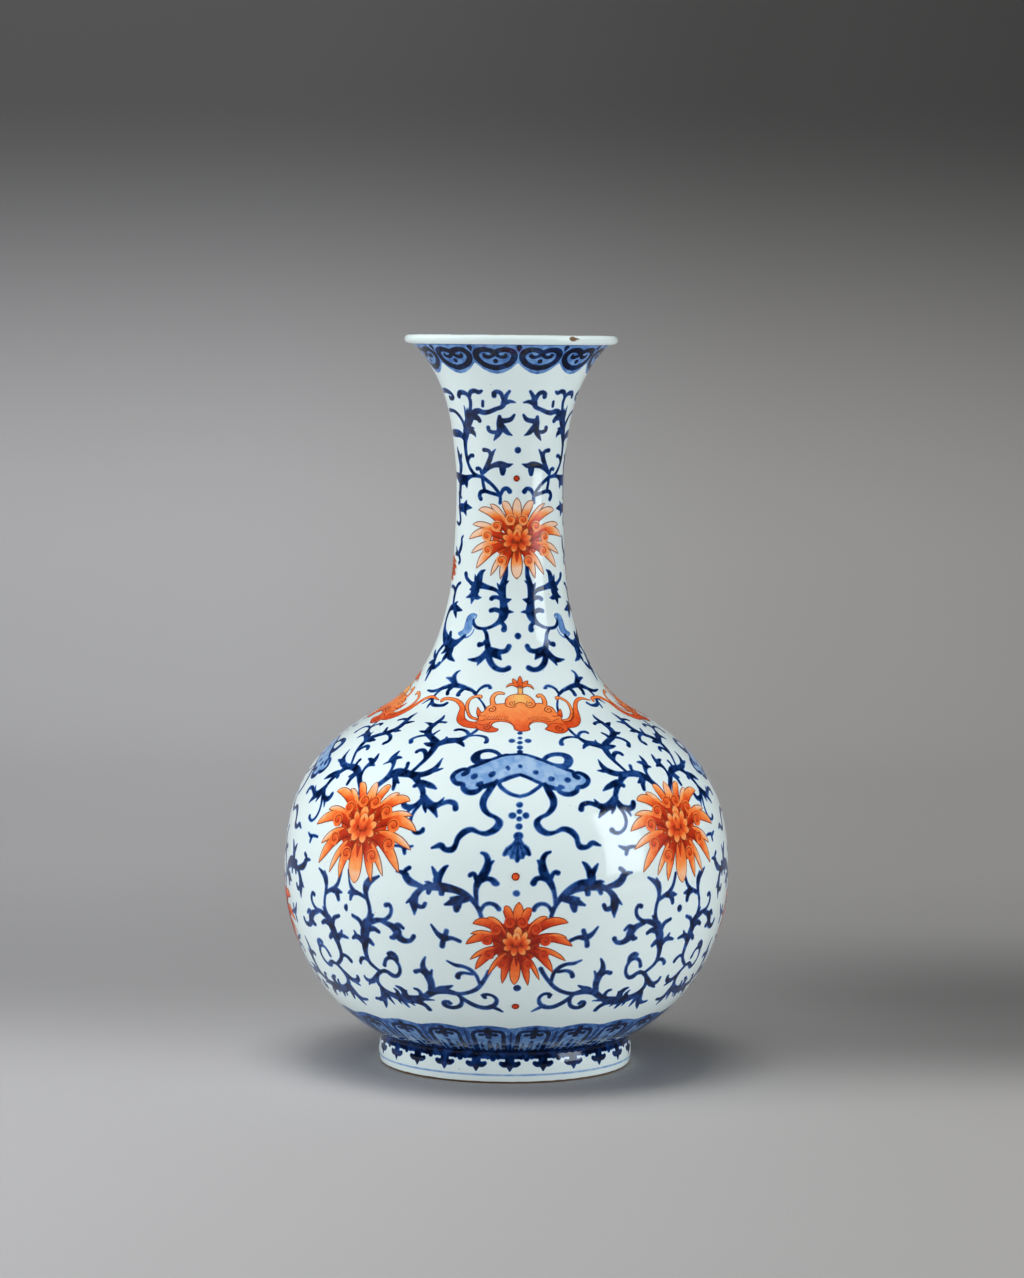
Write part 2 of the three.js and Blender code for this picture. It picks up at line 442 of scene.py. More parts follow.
class Painting:
    """A part of the design that repeats: strokes and flat washes on a rectangle of the map. The blue fades
    out over twice the softness, and fine and grid are the steps along a stroke and between strokes."""

    def __init__(self, width, low, high, softness, fine, grid=3.0):
        self.width, self.low, self.high = width, low, high
        self.softness, self.fine, self.grid = softness, fine, grid
        self.marks = []

    def near(self, outline):
        low, high = outline.min(0), outline.max(0)
        clear = high[0] < 0 or low[0] > self.width or high[1] < self.low or low[1] > self.high
        return not clear

    def strokes(self, strokes, tone=1.0, bold=1.0):
        for points in strokes:
            line = brushed([(x, y, width * bold) for x, y, width in points], self.fine)
            outline = stroke_edge(line, self.softness)
            if self.near(outline):
                inner = stroke_edge(line, -self.softness)
                self.marks.append((outline, inner, tone, depth_inside_stroke, line))

    def wash(self, outline, tone):
        outline = np.array(outline, float)
        outer, inner = (moved_edge(outline, way * self.softness) for way in (1, -1))
        if self.near(outer):
            self.marks.append((outer, inner, tone, depth_inside_shape, outline))

    def triangles(self):
        """Points, triangles and the strength of the blue at each point."""
        columns = max(1, round(self.width / self.grid))
        rows = max(1, round((self.high - self.low) / self.grid))
        xs = np.linspace(0, self.width, columns + 1)
        ys = np.linspace(self.low, self.high, rows + 1)
        points = [(x, y) for y in ys for x in xs]
        across = columns + 1
        edges = [(across * j + i, across * j + i + 1) for j in (0, rows) for i in range(columns)]
        edges += [(across * j + i, across * (j + 1) + i) for i in (0, columns) for j in range(rows)]
        for outline, inner, *_ in self.marks:
            for loop in (outline, inner):
                first = len(points)
                points += [tuple(point) for point in loop]
                edges += [(first + i, first + (i + 1) % len(loop)) for i in range(len(loop))]
        found = geometry.delaunay_2d_cdt([Vector(point) for point in points], edges, [], 0, 1e-5)
        at = np.array([tuple(point) for point in found[0]])
        faces = np.array(found[2])
        middle = at[faces].mean(1)
        kept = (middle[:, 0] > 0) & (middle[:, 0] < self.width)
        kept &= (middle[:, 1] > self.low) & (middle[:, 1] < self.high)
        faces = faces[kept]
        used, faces = np.unique(faces, return_inverse=True)
        at, faces = at[used], faces.reshape(-1, 3)
        blue = np.zeros(len(at))
        for outline, _, tone, depth_inside, form in self.marks:
            low, high = outline.min(0) - 1, outline.max(0) + 1
            near = np.flatnonzero((at >= low).all(1) & (at <= high).all(1))
            if len(near):
                cover = np.clip(depth_inside(at[near], form) / self.softness / 2 + 0.5, 0, 1)
                blue[near] = np.maximum(blue[near], cover * tone)
        return at, faces, blue


def wrap(bm, painting, drift):
    """Lays copies of the painting side by side round the vase, every second one mirrored."""
    layers = bm.verts.layers.float
    cobalt, turned, raised = (layers.get(name) or layers.new(name) for name in ("cobalt", "turn", "rise"))
    at, faces, blue = painting.triangles()
    for copy in range(round(360 / painting.width)):
        flipped = copy % 2 == 1
        made = []
        for (x, y), strength in zip(at, blue):
            design_x = (copy + 1) * painting.width - x if flipped else copy * painting.width + x
            turn, rise = drift(design_x, y)
            vertex = bm.verts.new(wall.place(turn, rise)[0])
            vertex[cobalt], vertex[turned], vertex[raised] = strength, turn, rise
            made.append(vertex)
        for face in faces:
            corners = [made[i] for i in face]
            bm.faces.new(corners[::-1] if flipped else corners)


def weld(bm):
    """Merges the copies where they meet."""
    bmesh.ops.remove_doubles(bm, verts=bm.verts, dist=2e-6)


def finish_wall(bm, name, material):
    """Welds the piece and gives the painted outside the true normals of the curve."""
    weld(bm)
    turned, raised = (bm.verts.layers.float[layer] for layer in ("turn", "rise"))
    normals = [
        wall.place(vertex[turned], vertex[raised])[1] if vertex[raised] > NOT_PAINTED else (0, 0, 0)
        for vertex in bm.verts
    ]
    for face in bm.faces:
        face.smooth = True
    made = piece_from(bm, name, material)
    made.data.normals_split_custom_set_from_vertices(normals)
    return made


def boundary_loop(bm, rise):
    """The open edges at that height of the map."""
    raised = bm.verts.layers.float["rise"]
    return [
        edge for edge in bm.edges
        if edge.is_boundary and all(abs(vertex[raised] - rise) < 1e-3 for vertex in edge.verts)
    ]


def line_inside(bm, edges, profile):
    """Extrudes a loop of edges from ring to ring of the (r, z) profile, and returns the last ring."""
    raised = bm.verts.layers.float["rise"]
    painted = bm.verts.layers.float["cobalt"]
    for r, z in profile:
        made = bmesh.ops.extrude_edge_only(bm, edges=edges)["geom"]
        for vertex in (part for part in made if isinstance(part, bmesh.types.BMVert)):
            size = math.hypot(vertex.co.x, vertex.co.y)
            vertex.co = (vertex.co.x * r / size, vertex.co.y * r / size, z)
            vertex[raised] = NOT_PAINTED
            vertex[painted] = 0.0
        edges = [part for part in made if isinstance(part, bmesh.types.BMEdge) and part.is_boundary]
    return edges


GLAZE = (0.675, 0.785, 0.790)
BLUES = [
    (0.00, GLAZE),
    (0.10, (0.42, 0.57, 0.73)),
    (0.28, (0.145, 0.300, 0.58)),
    (0.46, (0.030, 0.105, 0.33)),
    (0.64, (0.0080, 0.0400, 0.170)),
    (0.80, (0.0025, 0.0160, 0.075)),
    (1.00, (0.0006, 0.0035, 0.018)),
]
GREENISH = (0.58, 0.68, 0.67)
BARE_CLAY = (0.16, 0.095, 0.050)


def painted_glaze(name, bare_below=-1.0, worn_above=9.0, chips=()):
    """Bluish-white glaze, a little uneven, over cobalt that pools dark in places and thins out in others.
    The clay is bare under one height and worn over another, and chips are (place, size) of the knocks."""
    glaze = Finish(name, IOR=1.5, Specular_IOR_Level=0.35)
    cobalt = glaze.attribute("cobalt")
    cloud = glaze.within(glaze.noise(0.011, 2), 0.34, 0.66)
    heaped = glaze.within(glaze.noise(0.0042, 2), 0.38, 0.66)
    strength = cobalt * (0.57 + 0.18 * cloud + 0.27 * heaped)
    paint = glaze.ramp(strength, BLUES)
    shade = glaze.within(glaze.noise(0.07, 2), 0.25, 0.8) * (1 - 4 * cobalt).most(0)
    speck = glaze.within(glaze.noise(0.0016, 1), 0.795, 0.83) * 0.8
    coloured = glaze.mix(speck, glaze.mix(shade * 0.10, paint, GREENISH), BARE_CLAY)
    rubbed = glaze.within(glaze.noise(0.01, 2), 0.35, 0.7)
    worn = glaze.within(glaze.height(), worn_above, worn_above + 0.0006) * rubbed
    coloured = glaze.mix(0.5 * worn, coloured, BARE_CLAY)
    edge = glaze.height() + 0.0008 * glaze.noise(0.005, 3)
    bare = 1 - glaze.within(edge, bare_below, bare_below + 0.0003)
    for place, size in chips:
        distance = {"operation": "DISTANCE"}
        away = glaze.value("ShaderNodeVectorMath", distance, {0: glaze.place, 1: place}, "Value")
        bare = bare.most(1 - glaze.within(away + 0.0006 * glaze.noise(0.0011, 2), size, size + 0.0003))
    glaze.set(Base_Color=glaze.mix(bare, coloured, BARE_CLAY))
    glaze.set(Roughness=0.07 + 0.05 * glaze.noise(0.02, 3) + 0.7 * bare)
    glaze.bump(glaze.noise(0.009, 2) + 0.25 * glaze.noise(0.0022, 2), 0.00006)
    return glaze


def foot_drift(x, y):
    """Where the painter put a point of the design on the foot."""
    return x - 1.2, y


PENDANT_WIDTH = 7.5
FOOT_RISE_LOW = wall.rise_at(FOOT_BEVEL)
FOOT_RISE_HIGH = wall.rise_at(SEAM_FOOT)
foot_painting = Painting(PENDANT_WIDTH, FOOT_RISE_LOW, FOOT_RISE_HIGH, softness=0.25, fine=0.4, grid=1.5)
foot_painting.strokes([
    [(-2, -64.6, 3.2), (10, -64.6, 3.2)],
    [(0, -65, 4.0), (0, -66.8, 4.0), (0, -68.4, 3.6)],
    [(0, -68.4, 2.8), (2.6, -68.7, 2.4), (3.9, -68.2, 1.9)],
    [(0, -69.2, 3.4), (0, -70.4, 2.2), (0, -71.2, 1)],
    [(7.5, -66.0, 2.6)],
    [(5.2, -65.6, 1.8)],
], tone=1.15)
foot_painting.strokes([[(-2, -73.4, 0.8), (10, -73.4, 0.8)]], tone=0.30)
foot_mesh = bmesh.new()
wrap(foot_mesh, foot_painting, foot_drift)
weld(foot_mesh)
foot_inside = [(0.06375, 0.0), (0.06035, 0.0), (0.05815, 0.0026), (0.0569, 0.0152), (0.0600, 0.0158)]
last_ring = line_inside(foot_mesh, boundary_loop(foot_mesh, FOOT_RISE_LOW), foot_inside)
bmesh.ops.bridge_loops(foot_mesh, edges=last_ring + boundary_loop(foot_mesh, FOOT_RISE_HIGH))
foot_glaze = painted_glaze("foot_glaze", bare_below=0.0014)
foot_piece = finish_wall(foot_mesh, "foot_ring_porcelain", foot_glaze.material)
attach(foot_piece, "root")
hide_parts("foot_ring")

# Slip under the belly: the same clay thinned with water, which fills the seam above the foot ring and dries
# as a small bead inside it. It is fired with the rest and stays rough.
SLIP_HALF = 0.00035
SLIP_BEAD = 0.0012
slip = Finish("fired_slip", Roughness=0.85)
slip.set(Base_Color=slip.mix(slip.noise(0.004, 3), (0.62, 0.56, 0.48), (0.78, 0.73, 0.66)))
slip.bump(slip.noise(0.0012, 3), 0.00008)


def slip_ring(name, outer, inner, z):
    """The ring of slip in a seam, spun about the vase's axis, with its bead inside."""
    bm = bmesh.new()
    low, high = z - SLIP_HALF, z + SLIP_HALF
    profile = [(outer, low), (outer, high), (inner, high), (inner - SLIP_BEAD, z), (inner, low)]
    points = [bm.verts.new((r, 0, z)) for r, z in profile]
    edges = [bm.edges.new(pair) for pair in zip(points, points[1:] + points[:1])]
    bmesh.ops.spin(
        bm, geom=points + edges, cent=(0, 0, 0), axis=(0, 0, 1), dvec=(0, 0, 0), angle=math.tau, steps=120,
        use_merge=True,
    )
    bmesh.ops.remove_doubles(bm, verts=bm.verts, dist=1e-6)
    bmesh.ops.recalc_face_normals(bm, faces=bm.faces)
    for face in bm.faces:
        face.smooth = True
    for edge in bm.edges:
        edge.smooth = edge.is_manifold and edge.calc_face_angle() < math.radians(30)
    return piece_from(bm, name, slip.material)


foot_slip_piece = slip_ring("foot_slip_fired", outer=0.0645, inner=0.0569, z=0.0156)
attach(foot_slip_piece, "root")
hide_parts("foot_slip_seam")

# Lower belly: the thrown bowl with the floor that closes the vase. Lappets stand round its root and the
# lower scroll runs over it; the glaze covers it outside and inside.
LEAN_HEIGHTS = (-60, -24, 5, 20, 45, 55, 66, 83, 100, 120)
LEAN = (-0.3, -0.3, -1.0, -0.2, 0.8, 1.5, 1.8, 2.6, 3.8, 4.3)
COLUMN_SPREAD = 1.5
SEAM_NECK = 0.2000
SEAM_MOUTH = 0.3135
SEAM_NECK_RISE = wall.rise_at(SEAM_NECK)
SEAM_MOUTH_RISE = wall.rise_at(SEAM_MOUTH)
LAPPETS_TOP = -37.6
SCROLL_LOW = -37.3
SHOULDER_RISE = 65.5
BAND_LOW = 375.0
# Heights at which a painting starts or ends, so that nothing there drifts up or down.
FIXED_RISES = (SCROLL_LOW, 0.0, SHOULDER_RISE, SEAM_NECK_RISE, SEAM_MOUTH_RISE, BAND_LOW)
SCROLL_WIDTH = 45
NECK_WIDTH = 90
LAPPET_WIDTH = 7.5
DRAWN_WIDTH = 46.5


def lean_at(rise):
    """How far the painter's columns lean to the side at a height on the map."""
    return float(np.interp(rise, LEAN_HEIGHTS, LEAN))


def upright(strokes, squeeze=1.0):
    """Strokes as seen from the front, set upright and squeezed to the width of their repeat."""
    return [[((x - lean_at(y)) * squeeze, y, width) for x, y, width in points] for points in strokes]


def round_dots(*dots):
    """Dots of the brush, each given by its place and radius."""
    return [[(x, y, 2 * radius)] for x, y, radius in dots]


def mirrored(outline):
    """An outline closed by its own mirror image."""
    return outline + [(-x, y) for x, y in reversed(outline) if x > 0]


# How the painter strayed from the mirrored design at the left of the front: places, and the way from them.
STRAYED = [
    (6, 8, 1.6, -0.3), (16, 8, 0.8, -1.3), (24, -4, 0.8, 0.7), (26, 5, 0.3, 0.1), (10, -19, 1.2, -0.9),
    (22, -20, 1.8, 0.4), (25, -33, 1.3, 0.2), (33, -27, 1.6, 0.5), (40, -34, 0.5, 1.4), (41, -14, 1.0, 0.1),
    (30, -19, 1.4, 0.0), (31, -5, 0.8, 0.0), (43, -8, 1.6, 0.8), (45, 25, -1.7, 0.9), (31, 31, -1.0, -0.5),
    (27, 25, -0.6, 0.3), (16, 22, 0.4, 0.1), (39, 50, -3.0, 0.9), (41, 60, -2.4, 0.0), (42, 44, -2.0, 2.2),
    (36, 40, -0.8, 1.1), (16, 47, -3.4, 1.0), (22, 54, -4.0, 1.0), (28, 52, -1.0, 2.2), (43, 37, -1.2, 2.6),
    (11, 39, -1.3, 2.0), (18, 31, -0.6, 1.2), (5, 19, 1.4, 0.0), (15, 13, 0.4, -0.5), (5, -32, -1.0, -0.2),
    (14, -27, 0.1, 0.0), (7, -4, 0.2, 0.2), (12, -10, 0.8, -0.3), (3, 48, 0.0, 0.0), (2, 21, 0.0, 0.0),
    (3, 13, 0.0, 0.0),
]
STRAY_PLACES = np.array(STRAYED)[:, :2]
STRAY_WAYS = np.array(STRAYED)[:, 2:]
STRAY_REACH = 4.0


def stray(x, y):
    """The painter's hand: it strays between the columns, and comes back to each of them."""
    x = (x + 180) % 360 - 180
    held = math.sin(math.radians(4 * x)) ** 2
    if -45 < x < 0 and y < 80:
        near = np.exp(-((STRAY_PLACES - (-x, y)) ** 2).sum(1) / (2 * STRAY_REACH**2)) + 1e-9
        way_x, way_y = (STRAY_WAYS * near[:, None]).sum(0) / near.sum()
        fade = min(-x / 5, (45 + x) / 3, 1) * min((80 - y) / 12, 1)
        return -way_x * fade, way_y * fade
    if 0 <= x <= 45:
        return 0.0, 0.0
    around = math.radians(x)
    way_x = 0.5 * math.sin(7 * around + 0.06 * y + 1.1) + 0.4 * math.sin(3 * around - 0.11 * y)
    way_y = 0.5 * math.sin(5 * around + 0.09 * y + 2.3)
    return way_x * held, way_y * held


def scroll_drift(x, y):
    """Where the painter put a point of the design."""
    spread = COLUMN_SPREAD * math.sin(math.radians(2 * x)) * float(np.interp(y, (50, 66), (1, 0)))
    stray_x, stray_y = stray(x, y)
    fixed = min(abs(y - edge) for edge in FIXED_RISES)
    stray_y *= min(fixed / 4, 1)
    return x + spread + lean_at(y) + stray_x, y + stray_y


def lappet_drift(x, y):
    """The lappets are set wider at one side of the vase than at the other."""
    wide = 2.67 * math.sin(math.radians(x))
    return x + 6.5 + wide, y


SEAM_INSET = 0.0006
SEAM_GAP = 0.0004
WALL_HEIGHTS = [station["z"] for station in STATIONS]
WALLS = [station["wall"] for station in STATIONS]


def inside_at(z):
    """Radius and height of the wall's inner face, across from the height z outside."""
    thick = float(np.interp(z, WALL_HEIGHTS, WALLS))
    place, _ = wall.place(-FRONT, wall.rise_at(z), -thick)
    return -place.y, place.z


def inside_between(low, high, steps):
    return [inside_at(low + (high - low) * step / steps) for step in range(steps + 1)]


def seam_edge(z, way):
    """The level face of a section at a seam: a small step in from the outside, then towards the slip."""
    radius = wall.radius_at(z) - SEAM_INSET
    return [(radius, z), (radius, z + way * SEAM_GAP)]


BELLY_STROKES = [
    # stem from the lower flower up to the right
    [(7.5, -4.7, 0.9), (8.1, -2.7, 1), (9.4, -0.6, 1.1), (11, 1, 1.6), (12.9, 2.2, 2.1), (15, 2.9, 2.5),
     (17.2, 3, 2.5), (19.4, 2.6, 2), (21.5, 1.9, 1.2), (23.2, 0.4, 1.4), (24, -1.4, 2.2),
     (23.9, -3.4, 1.7), (24, -5.3, 0.4)],
    [(24, -1.9, 1.3), (22.8, -3.1, 1.2), (21.6, -3.2, 1.1), (21, -2.2, 1)],
    [(24.2, -0.8, 1.2), (25.2, -1.6, 0.9), (26, -2.3, 0.3)],
    [(8.5, -1.3, 0.9), (8.3, 0.8, 0.9), (7.9, 2.4, 1.1), (7.1, 4.1, 1.5), (6, 5.6, 1.9),
     (5.3, 7.5, 1.8), (5.4, 9.5, 1.2), (6.2, 10.9, 0.9), (7.3, 11.4, 0.5)],
    [(5.4, 7.6, 1.4), (4.7, 8.6, 0.9), (4.2, 9.3, 0.4)],
    [(7.2, 4.3, 0.9), (7.8, 5.9, 0.9), (8.5, 6.5, 0.9), (9.1, 6.2, 1.1)],
    [(7.1, 3.9, 0.8), (5.2, 5, 1), (3.8, 4.8, 1.1), (3.1, 3.8, 1.3)],
    [(7.8, -3.6, 0.8), (6.8, -1.9, 0.8), (5.4, -1.3, 0.9), (4, -1.7, 1), (3.3, -2.7, 1.1)],
    [(10.2, -0.2, 1.2), (12.6, -0.6, 1.9), (14.2, -1.2, 1.6), (15.9, -1.9, 0.5)],
    [(12.8, -1, 1.8), (13.2, -2.4, 1.7), (13.3, -3, 1.3)],
    [(12.8, 0, 0.9), (14.4, -0.2, 0.5)],
    [(17.7, 3.4, 1.7), (17.6, 5.2, 1.9), (16.9, 6.8, 1.3), (16.1, 8.1, 0.9), (15.5, 8.6, 0.4)],
    [(17.7, 5.4, 1.3), (18.7, 7, 1), (19.4, 8, 0.4)],
    [(15.8, 2.4, 0.9), (16.6, 1.5, 1.3), (16.7, 0.8, 1.2)],
    [(18.8, 2.8, 0.9), (19.8, 1.7, 1.2), (20.1, 0.9, 1)],
    [(18.6, 3.4, 0.9), (20, 3.7, 0.8), (20.9, 3.6, 0.3)],
    [(21.4, 2.1, 0.9), (23.4, 2.6, 1.3), (25.2, 3.2, 1.7), (26.5, 4.6, 1.5), (26.5, 5.9, 1),
     (25.6, 6.6, 0.9)],
    [(26.2, 4.6, 1.4), (27.6, 5.3, 0.9), (29, 5.4, 0.4)],
    # sprig beside the lower flower
    [(12.7, -10.8, 0.8), (14.6, -10.1, 0.9), (16.7, -10.2, 1.5), (18.3, -9.3, 1.1), (19.7, -7.6, 0.4)],
    [(16.6, -10, 1.1), (16.1, -9, 1.1), (15.9, -8.4, 1.1)],
    [(16.8, -10.6, 1.1), (17.1, -11.7, 1.2), (17.2, -12.4, 1.2)],
    # stem from the lower flower down along the bottom
    [(5.6, -18.5, 1.1), (6.5, -20.1, 1), (7.9, -22.2, 1), (10, -24.6, 1.1), (12.6, -26.2, 1.1),
     (15.4, -26.9, 1.3), (18.6, -26.3, 1.9), (21.4, -26.8, 1.9), (23.8, -28.5, 1.8), (25.9, -29.8, 2.2),
     (28.4, -30.5, 2.8), (30.8, -30.8, 3), (33.3, -30.7, 2.8), (35.8, -30, 2.3), (37.9, -28.6, 1.7),
     (39, -26.8, 1.4), (39, -25.1, 1.3), (38.2, -23.4, 1.2), (36.9, -22.1, 1), (35, -21.4, 1)],
    [(8.7, -22.8, 0.8), (9, -20.2, 0.9), (10.2, -18.4, 1), (12.1, -17.4, 0.9), (14.2, -17.2, 0.9),
     (16.1, -16.4, 0.4)],
    [(10.2, -19.5, 0.8), (12.5, -19.3, 0.9), (13.8, -20, 1.1), (14.3, -21.1, 1.2)],
    [(22.2, -27, 1.6), (21.6, -24.2, 1.7), (21.8, -21.8, 2.1), (22.6, -19.6, 1.6), (22.3, -17.8, 1),
     (21.5, -16.3, 0.4)],
    [(22.4, -21.3, 1.3), (23.7, -20.4, 1.1), (25.2, -20.8, 1.2)],
    [(21.4, -22.2, 1.3), (20.8, -20.8, 0.8), (20.3, -19.9, 0.4)],
    [(20.8, -26.4, 1.6), (19.2, -25.6, 1.7), (17.8, -24.9, 1.1), (16.5, -24.2, 0.4)],
    [(15.6, -27.2, 1.1), (14.4, -28.6, 1.2), (12.6, -30.3, 1.4), (10.2, -31.6, 1.5), (7.9, -31.5, 1.5),
     (6.4, -30.2, 1.2), (5.9, -28.4, 0.9), (6.6, -27, 0.9), (7.8, -26.5, 0.9), (8.9, -27, 1.2),
     (8.7, -27.8, 0.9)],
    [(7.6, -31, 1.2), (5.9, -32.1, 1), (4.4, -33.2, 0.5)],
    [(15, -27.6, 0.9), (14.9, -30, 1), (16, -31.8, 1.2), (17.9, -32.4, 1.4), (19.4, -31.6, 1.4),
     (19.5, -30.4, 1.2), (18.6, -30.1, 1.2), (18.1, -30.7, 1.1)],
    [(25.8, -29.7, 1.3), (25.4, -28, 1.2), (26, -26.8, 1), (26.9, -26.5, 0.7)],
    [(30.8, -29.8, 2.2), (30.7, -28.1, 1.8), (31.6, -26.9, 1.3), (32.7, -26.4, 0.6)],
    [(30.6, -28.8, 1.2), (30, -27.9, 0.7), (29.7, -27.4, 0.3)],
    [(33, -29.2, 1.6), (33, -28.2, 1), (33.7, -27.4, 0.4)],
    [(29.2, -31, 1.8), (26.7, -31.5, 1.6), (25.1, -32.6, 1.4), (24.3, -34, 1.4)],
    [(25.8, -29.9, 1.2), (23.8, -30, 0.8), (22.1, -30, 0.3)],
    [(32.2, -31.4, 1.7), (31.8, -32.8, 1.3), (31.2, -33.9, 0.6)],
    [(33.6, -31.2, 1.6), (33.8, -32.4, 0.9), (33.4, -33.2, 0.3)],
    [(29.8, -31.6, 1.3), (29.3, -32.4, 0.8), (28.8, -32.9, 0.3)],
    [(37.6, -29, 2), (37.6, -31.4, 1.7), (36.8, -33.9, 0.5)],
    [(38.5, -28.6, 1.8), (39.6, -31.8, 2), (40.4, -34, 1.4), (41.2, -35.6, 0.4)],
    [(39.8, -31.8, 1.4), (41.6, -33.1, 1.3), (43.7, -32.9, 0.9)],
    # column between the lower and the upper scroll
    [(36.6, -22.1, 1), (38.2, -20.9, 1), (39.7, -19.6, 1.1), (40.4, -18, 1.3), (40.3, -15.6, 1.6),
     (39.7, -13.4, 2.2), (39.2, -11.3, 2.5), (38.2, -9.6, 2.2), (37.2, -7.7, 1.7), (36.7, -5.6, 1),
     (36.9, -3.5, 0.9), (37.5, -1.7, 1), (37.7, 0, 1.3), (37.2, 1.8, 1.7), (35.8, 2.8, 1.1),
     (34, 3.8, 0.4)],
    [(37.5, 1.2, 1.2), (37.2, 2.6, 0.7), (36.8, 3.4, 0.3)],
    [(37.4, -8.3, 1.6), (34.8, -7.3, 1.2), (32.5, -6.9, 0.9), (30.8, -5.6, 0.9), (30.4, -4, 0.9),
     (31, -3, 1), (31.9, -3.2, 1.1)],
    [(33.6, -7.4, 0.9), (30.9, -8.3, 1.5), (29.3, -9.6, 2.2), (28.8, -11.1, 1.9), (27.2, -12.1, 1.3),
     (25.4, -12, 1.1), (24.6, -11, 1.2)],
    [(30, -8.6, 1.2), (28.6, -8, 1), (27.4, -8.9, 0.7)],
    [(29.4, -10.4, 1.6), (30.5, -11.4, 1.3), (31.1, -11.4, 0.9)],
    [(37.3, -2.2, 0.9), (39.2, -1.3, 1), (41, -0.7, 1.1), (42.5, 0.7, 0.9), (43.3, 2.4, 0.8),
     (43.8, 4, 0.7)],
    [(40.4, -1, 1.4), (42.2, -1.1, 1.6), (44.1, -1.3, 0.4)],
    [(41.6, -1.2, 1.3), (42.6, -2.5, 1.3), (42.7, -3.1, 1.2)],
    [(38.4, -8.6, 1.6), (36.8, -7.2, 1.1), (35.8, -6, 0.4)],
    [(38.4, -10.2, 1.6), (36.2, -9.7, 1.3), (34.7, -10.3, 0.9)],
    [(39.4, -12.6, 1.7), (38, -13.2, 1.4), (37.2, -13.9, 1)],
    [(39.2, -10.2, 1.5), (40.3, -8.3, 1.1), (42.5, -7.4, 0.8)],
    [(40.2, -13.8, 1.8), (42.1, -12.6, 1.4), (44.8, -13, 0.6)],
    [(42, -12.6, 1.1), (42.6, -11.7, 0.8), (42.9, -11.3, 0.5)],
    [(39.7, -19.2, 0.8), (41.6, -18.3, 0.9), (43.1, -18.9, 1.1), (43.8, -19.7, 1.3)],
    [(36.9, -21.9, 0.9), (34.6, -21.6, 1.2), (32.9, -22.7, 1.5), (31.5, -22.7, 1.1), (30.2, -21.3, 0.9),
     (29.9, -19.3, 0.9), (30.8, -17.6, 0.9), (32.3, -17.1, 0.9), (33.8, -17.9, 0.9), (34.7, -19.6, 1.1)],
    [(30.3, -18.3, 1), (30.3, -16.6, 1.2), (31.5, -15.8, 1.3), (32.5, -16.1, 1.1)],
    [(36.9, -22.2, 1.1), (39, -24, 1.1), (40.8, -25.8, 1.6), (42.5, -26.3, 1.6), (44.1, -25.5, 1.3),
     (44.4, -24.5, 1)],
    [(41.6, -26.2, 1.3), (42.8, -27, 1.1), (43.8, -27.6, 0.5)],
    # arc from the upper flower over to the left
    [(45, 24.6, 0.9), (44.2, 26.4, 1.2), (42.7, 28.3, 1.5), (40.8, 30.4, 1.8), (38.5, 31.8, 2.1),
     (35.8, 32.3, 2), (33.6, 32, 1.6), (31.7, 31, 1.6), (29.7, 29.1, 1.5), (28.1, 27.2, 1.4),
     (27.2, 25, 1.2), (27.4, 22.9, 0.9), (28.5, 20.7, 0.8), (28.8, 18.6, 0.8), (28.1, 16.8, 0.7),
     (26.5, 15.6, 0.7), (25, 15.6, 0.8), (24.1, 16.3, 1.2)],
    [(40.2, 30.6, 1.5), (38.4, 29.7, 1.7), (36.8, 29.1, 0.5)],
    [(39.4, 30.2, 1.5), (38.3, 28.6, 1.4), (37.9, 26.9, 1.1)],
    [(37, 32.4, 1.2), (36.7, 34, 1), (37, 35, 1.2)],
    [(33.6, 32.3, 1.6), (30.4, 32.6, 1.7), (27.8, 33.8, 1.9), (26.6, 35.6, 1.4), (26.2, 38.3, 0.3)],
    [(27.6, 33.8, 1.4), (25.8, 33.9, 1), (24.4, 34.1, 0.3)],
    [(31, 31.2, 1), (30.4, 29.5, 1.1), (31, 28.6, 1.3)],
    [(29.4, 29.8, 1.6), (27.2, 29, 1.6), (25.4, 28.2, 1.2), (24, 27.4, 0.4)],
    [(27.2, 25.2, 1.6), (25.4, 23.4, 2.1), (23.2, 22.5, 1.9), (20.8, 23.3, 1.2), (18.8, 23.9, 1.1),
     (16.9, 23.5, 1.2), (16.3, 22.3, 1.4)],
    [(24, 22.6, 1.8), (22.4, 21.4, 1.4), (21, 19.9, 0.4)],
    [(26.2, 23.6, 1.6), (25.6, 22, 1.1), (25, 20.8, 0.4)],
    [(21.6, 23.2, 1.1), (20.9, 24.2, 0.7), (20.6, 24.8, 0.3)],
    [(27.3, 24.2, 1.1), (28.5, 22.5, 1.2), (30.4, 21.8, 1.4), (31.9, 22.2, 1.4), (32.5, 23.2, 1.4)],
    [(29.4, 22, 1.2), (30.2, 20.8, 0.8), (30.6, 19.8, 0.4)],
    # stem that climbs to the shoulder between the columns
    [(34.4, 32.7, 0.9), (33, 35.2, 0.9), (31.8, 37.5, 1.2), (31.2, 39.8, 1.8), (31.1, 42.2, 2.2),
     (31.8, 44.2, 2.4), (33.2, 45.4, 2.2), (34.8, 46.5, 2), (36.9, 47.7, 2.1), (39.2, 49.2, 2.4),
     (40.8, 51, 2.5), (41.5, 53.3, 2.4), (41.3, 55.6, 2.3), (40.8, 58.3, 2), (40.4, 61, 1.7),
     (41, 63.7, 0.5)],
    [(41.6, 55.2, 2), (43.6, 56.5, 1.7), (45.7, 57.3, 0.5)],
    [(40.8, 50.5, 1.8), (42.6, 50.4, 1.6), (44.4, 50.6, 0.5)],
    [(40.8, 58.2, 1.9), (38.9, 58.2, 1.6), (37.3, 57.9, 1.4), (35.9, 57, 1.3)],
    [(31.8, 37.8, 1), (33, 39.8, 1.3), (34.6, 40.8, 1.3), (36.1, 40.4, 1.3), (36.5, 39.8, 1.3)],
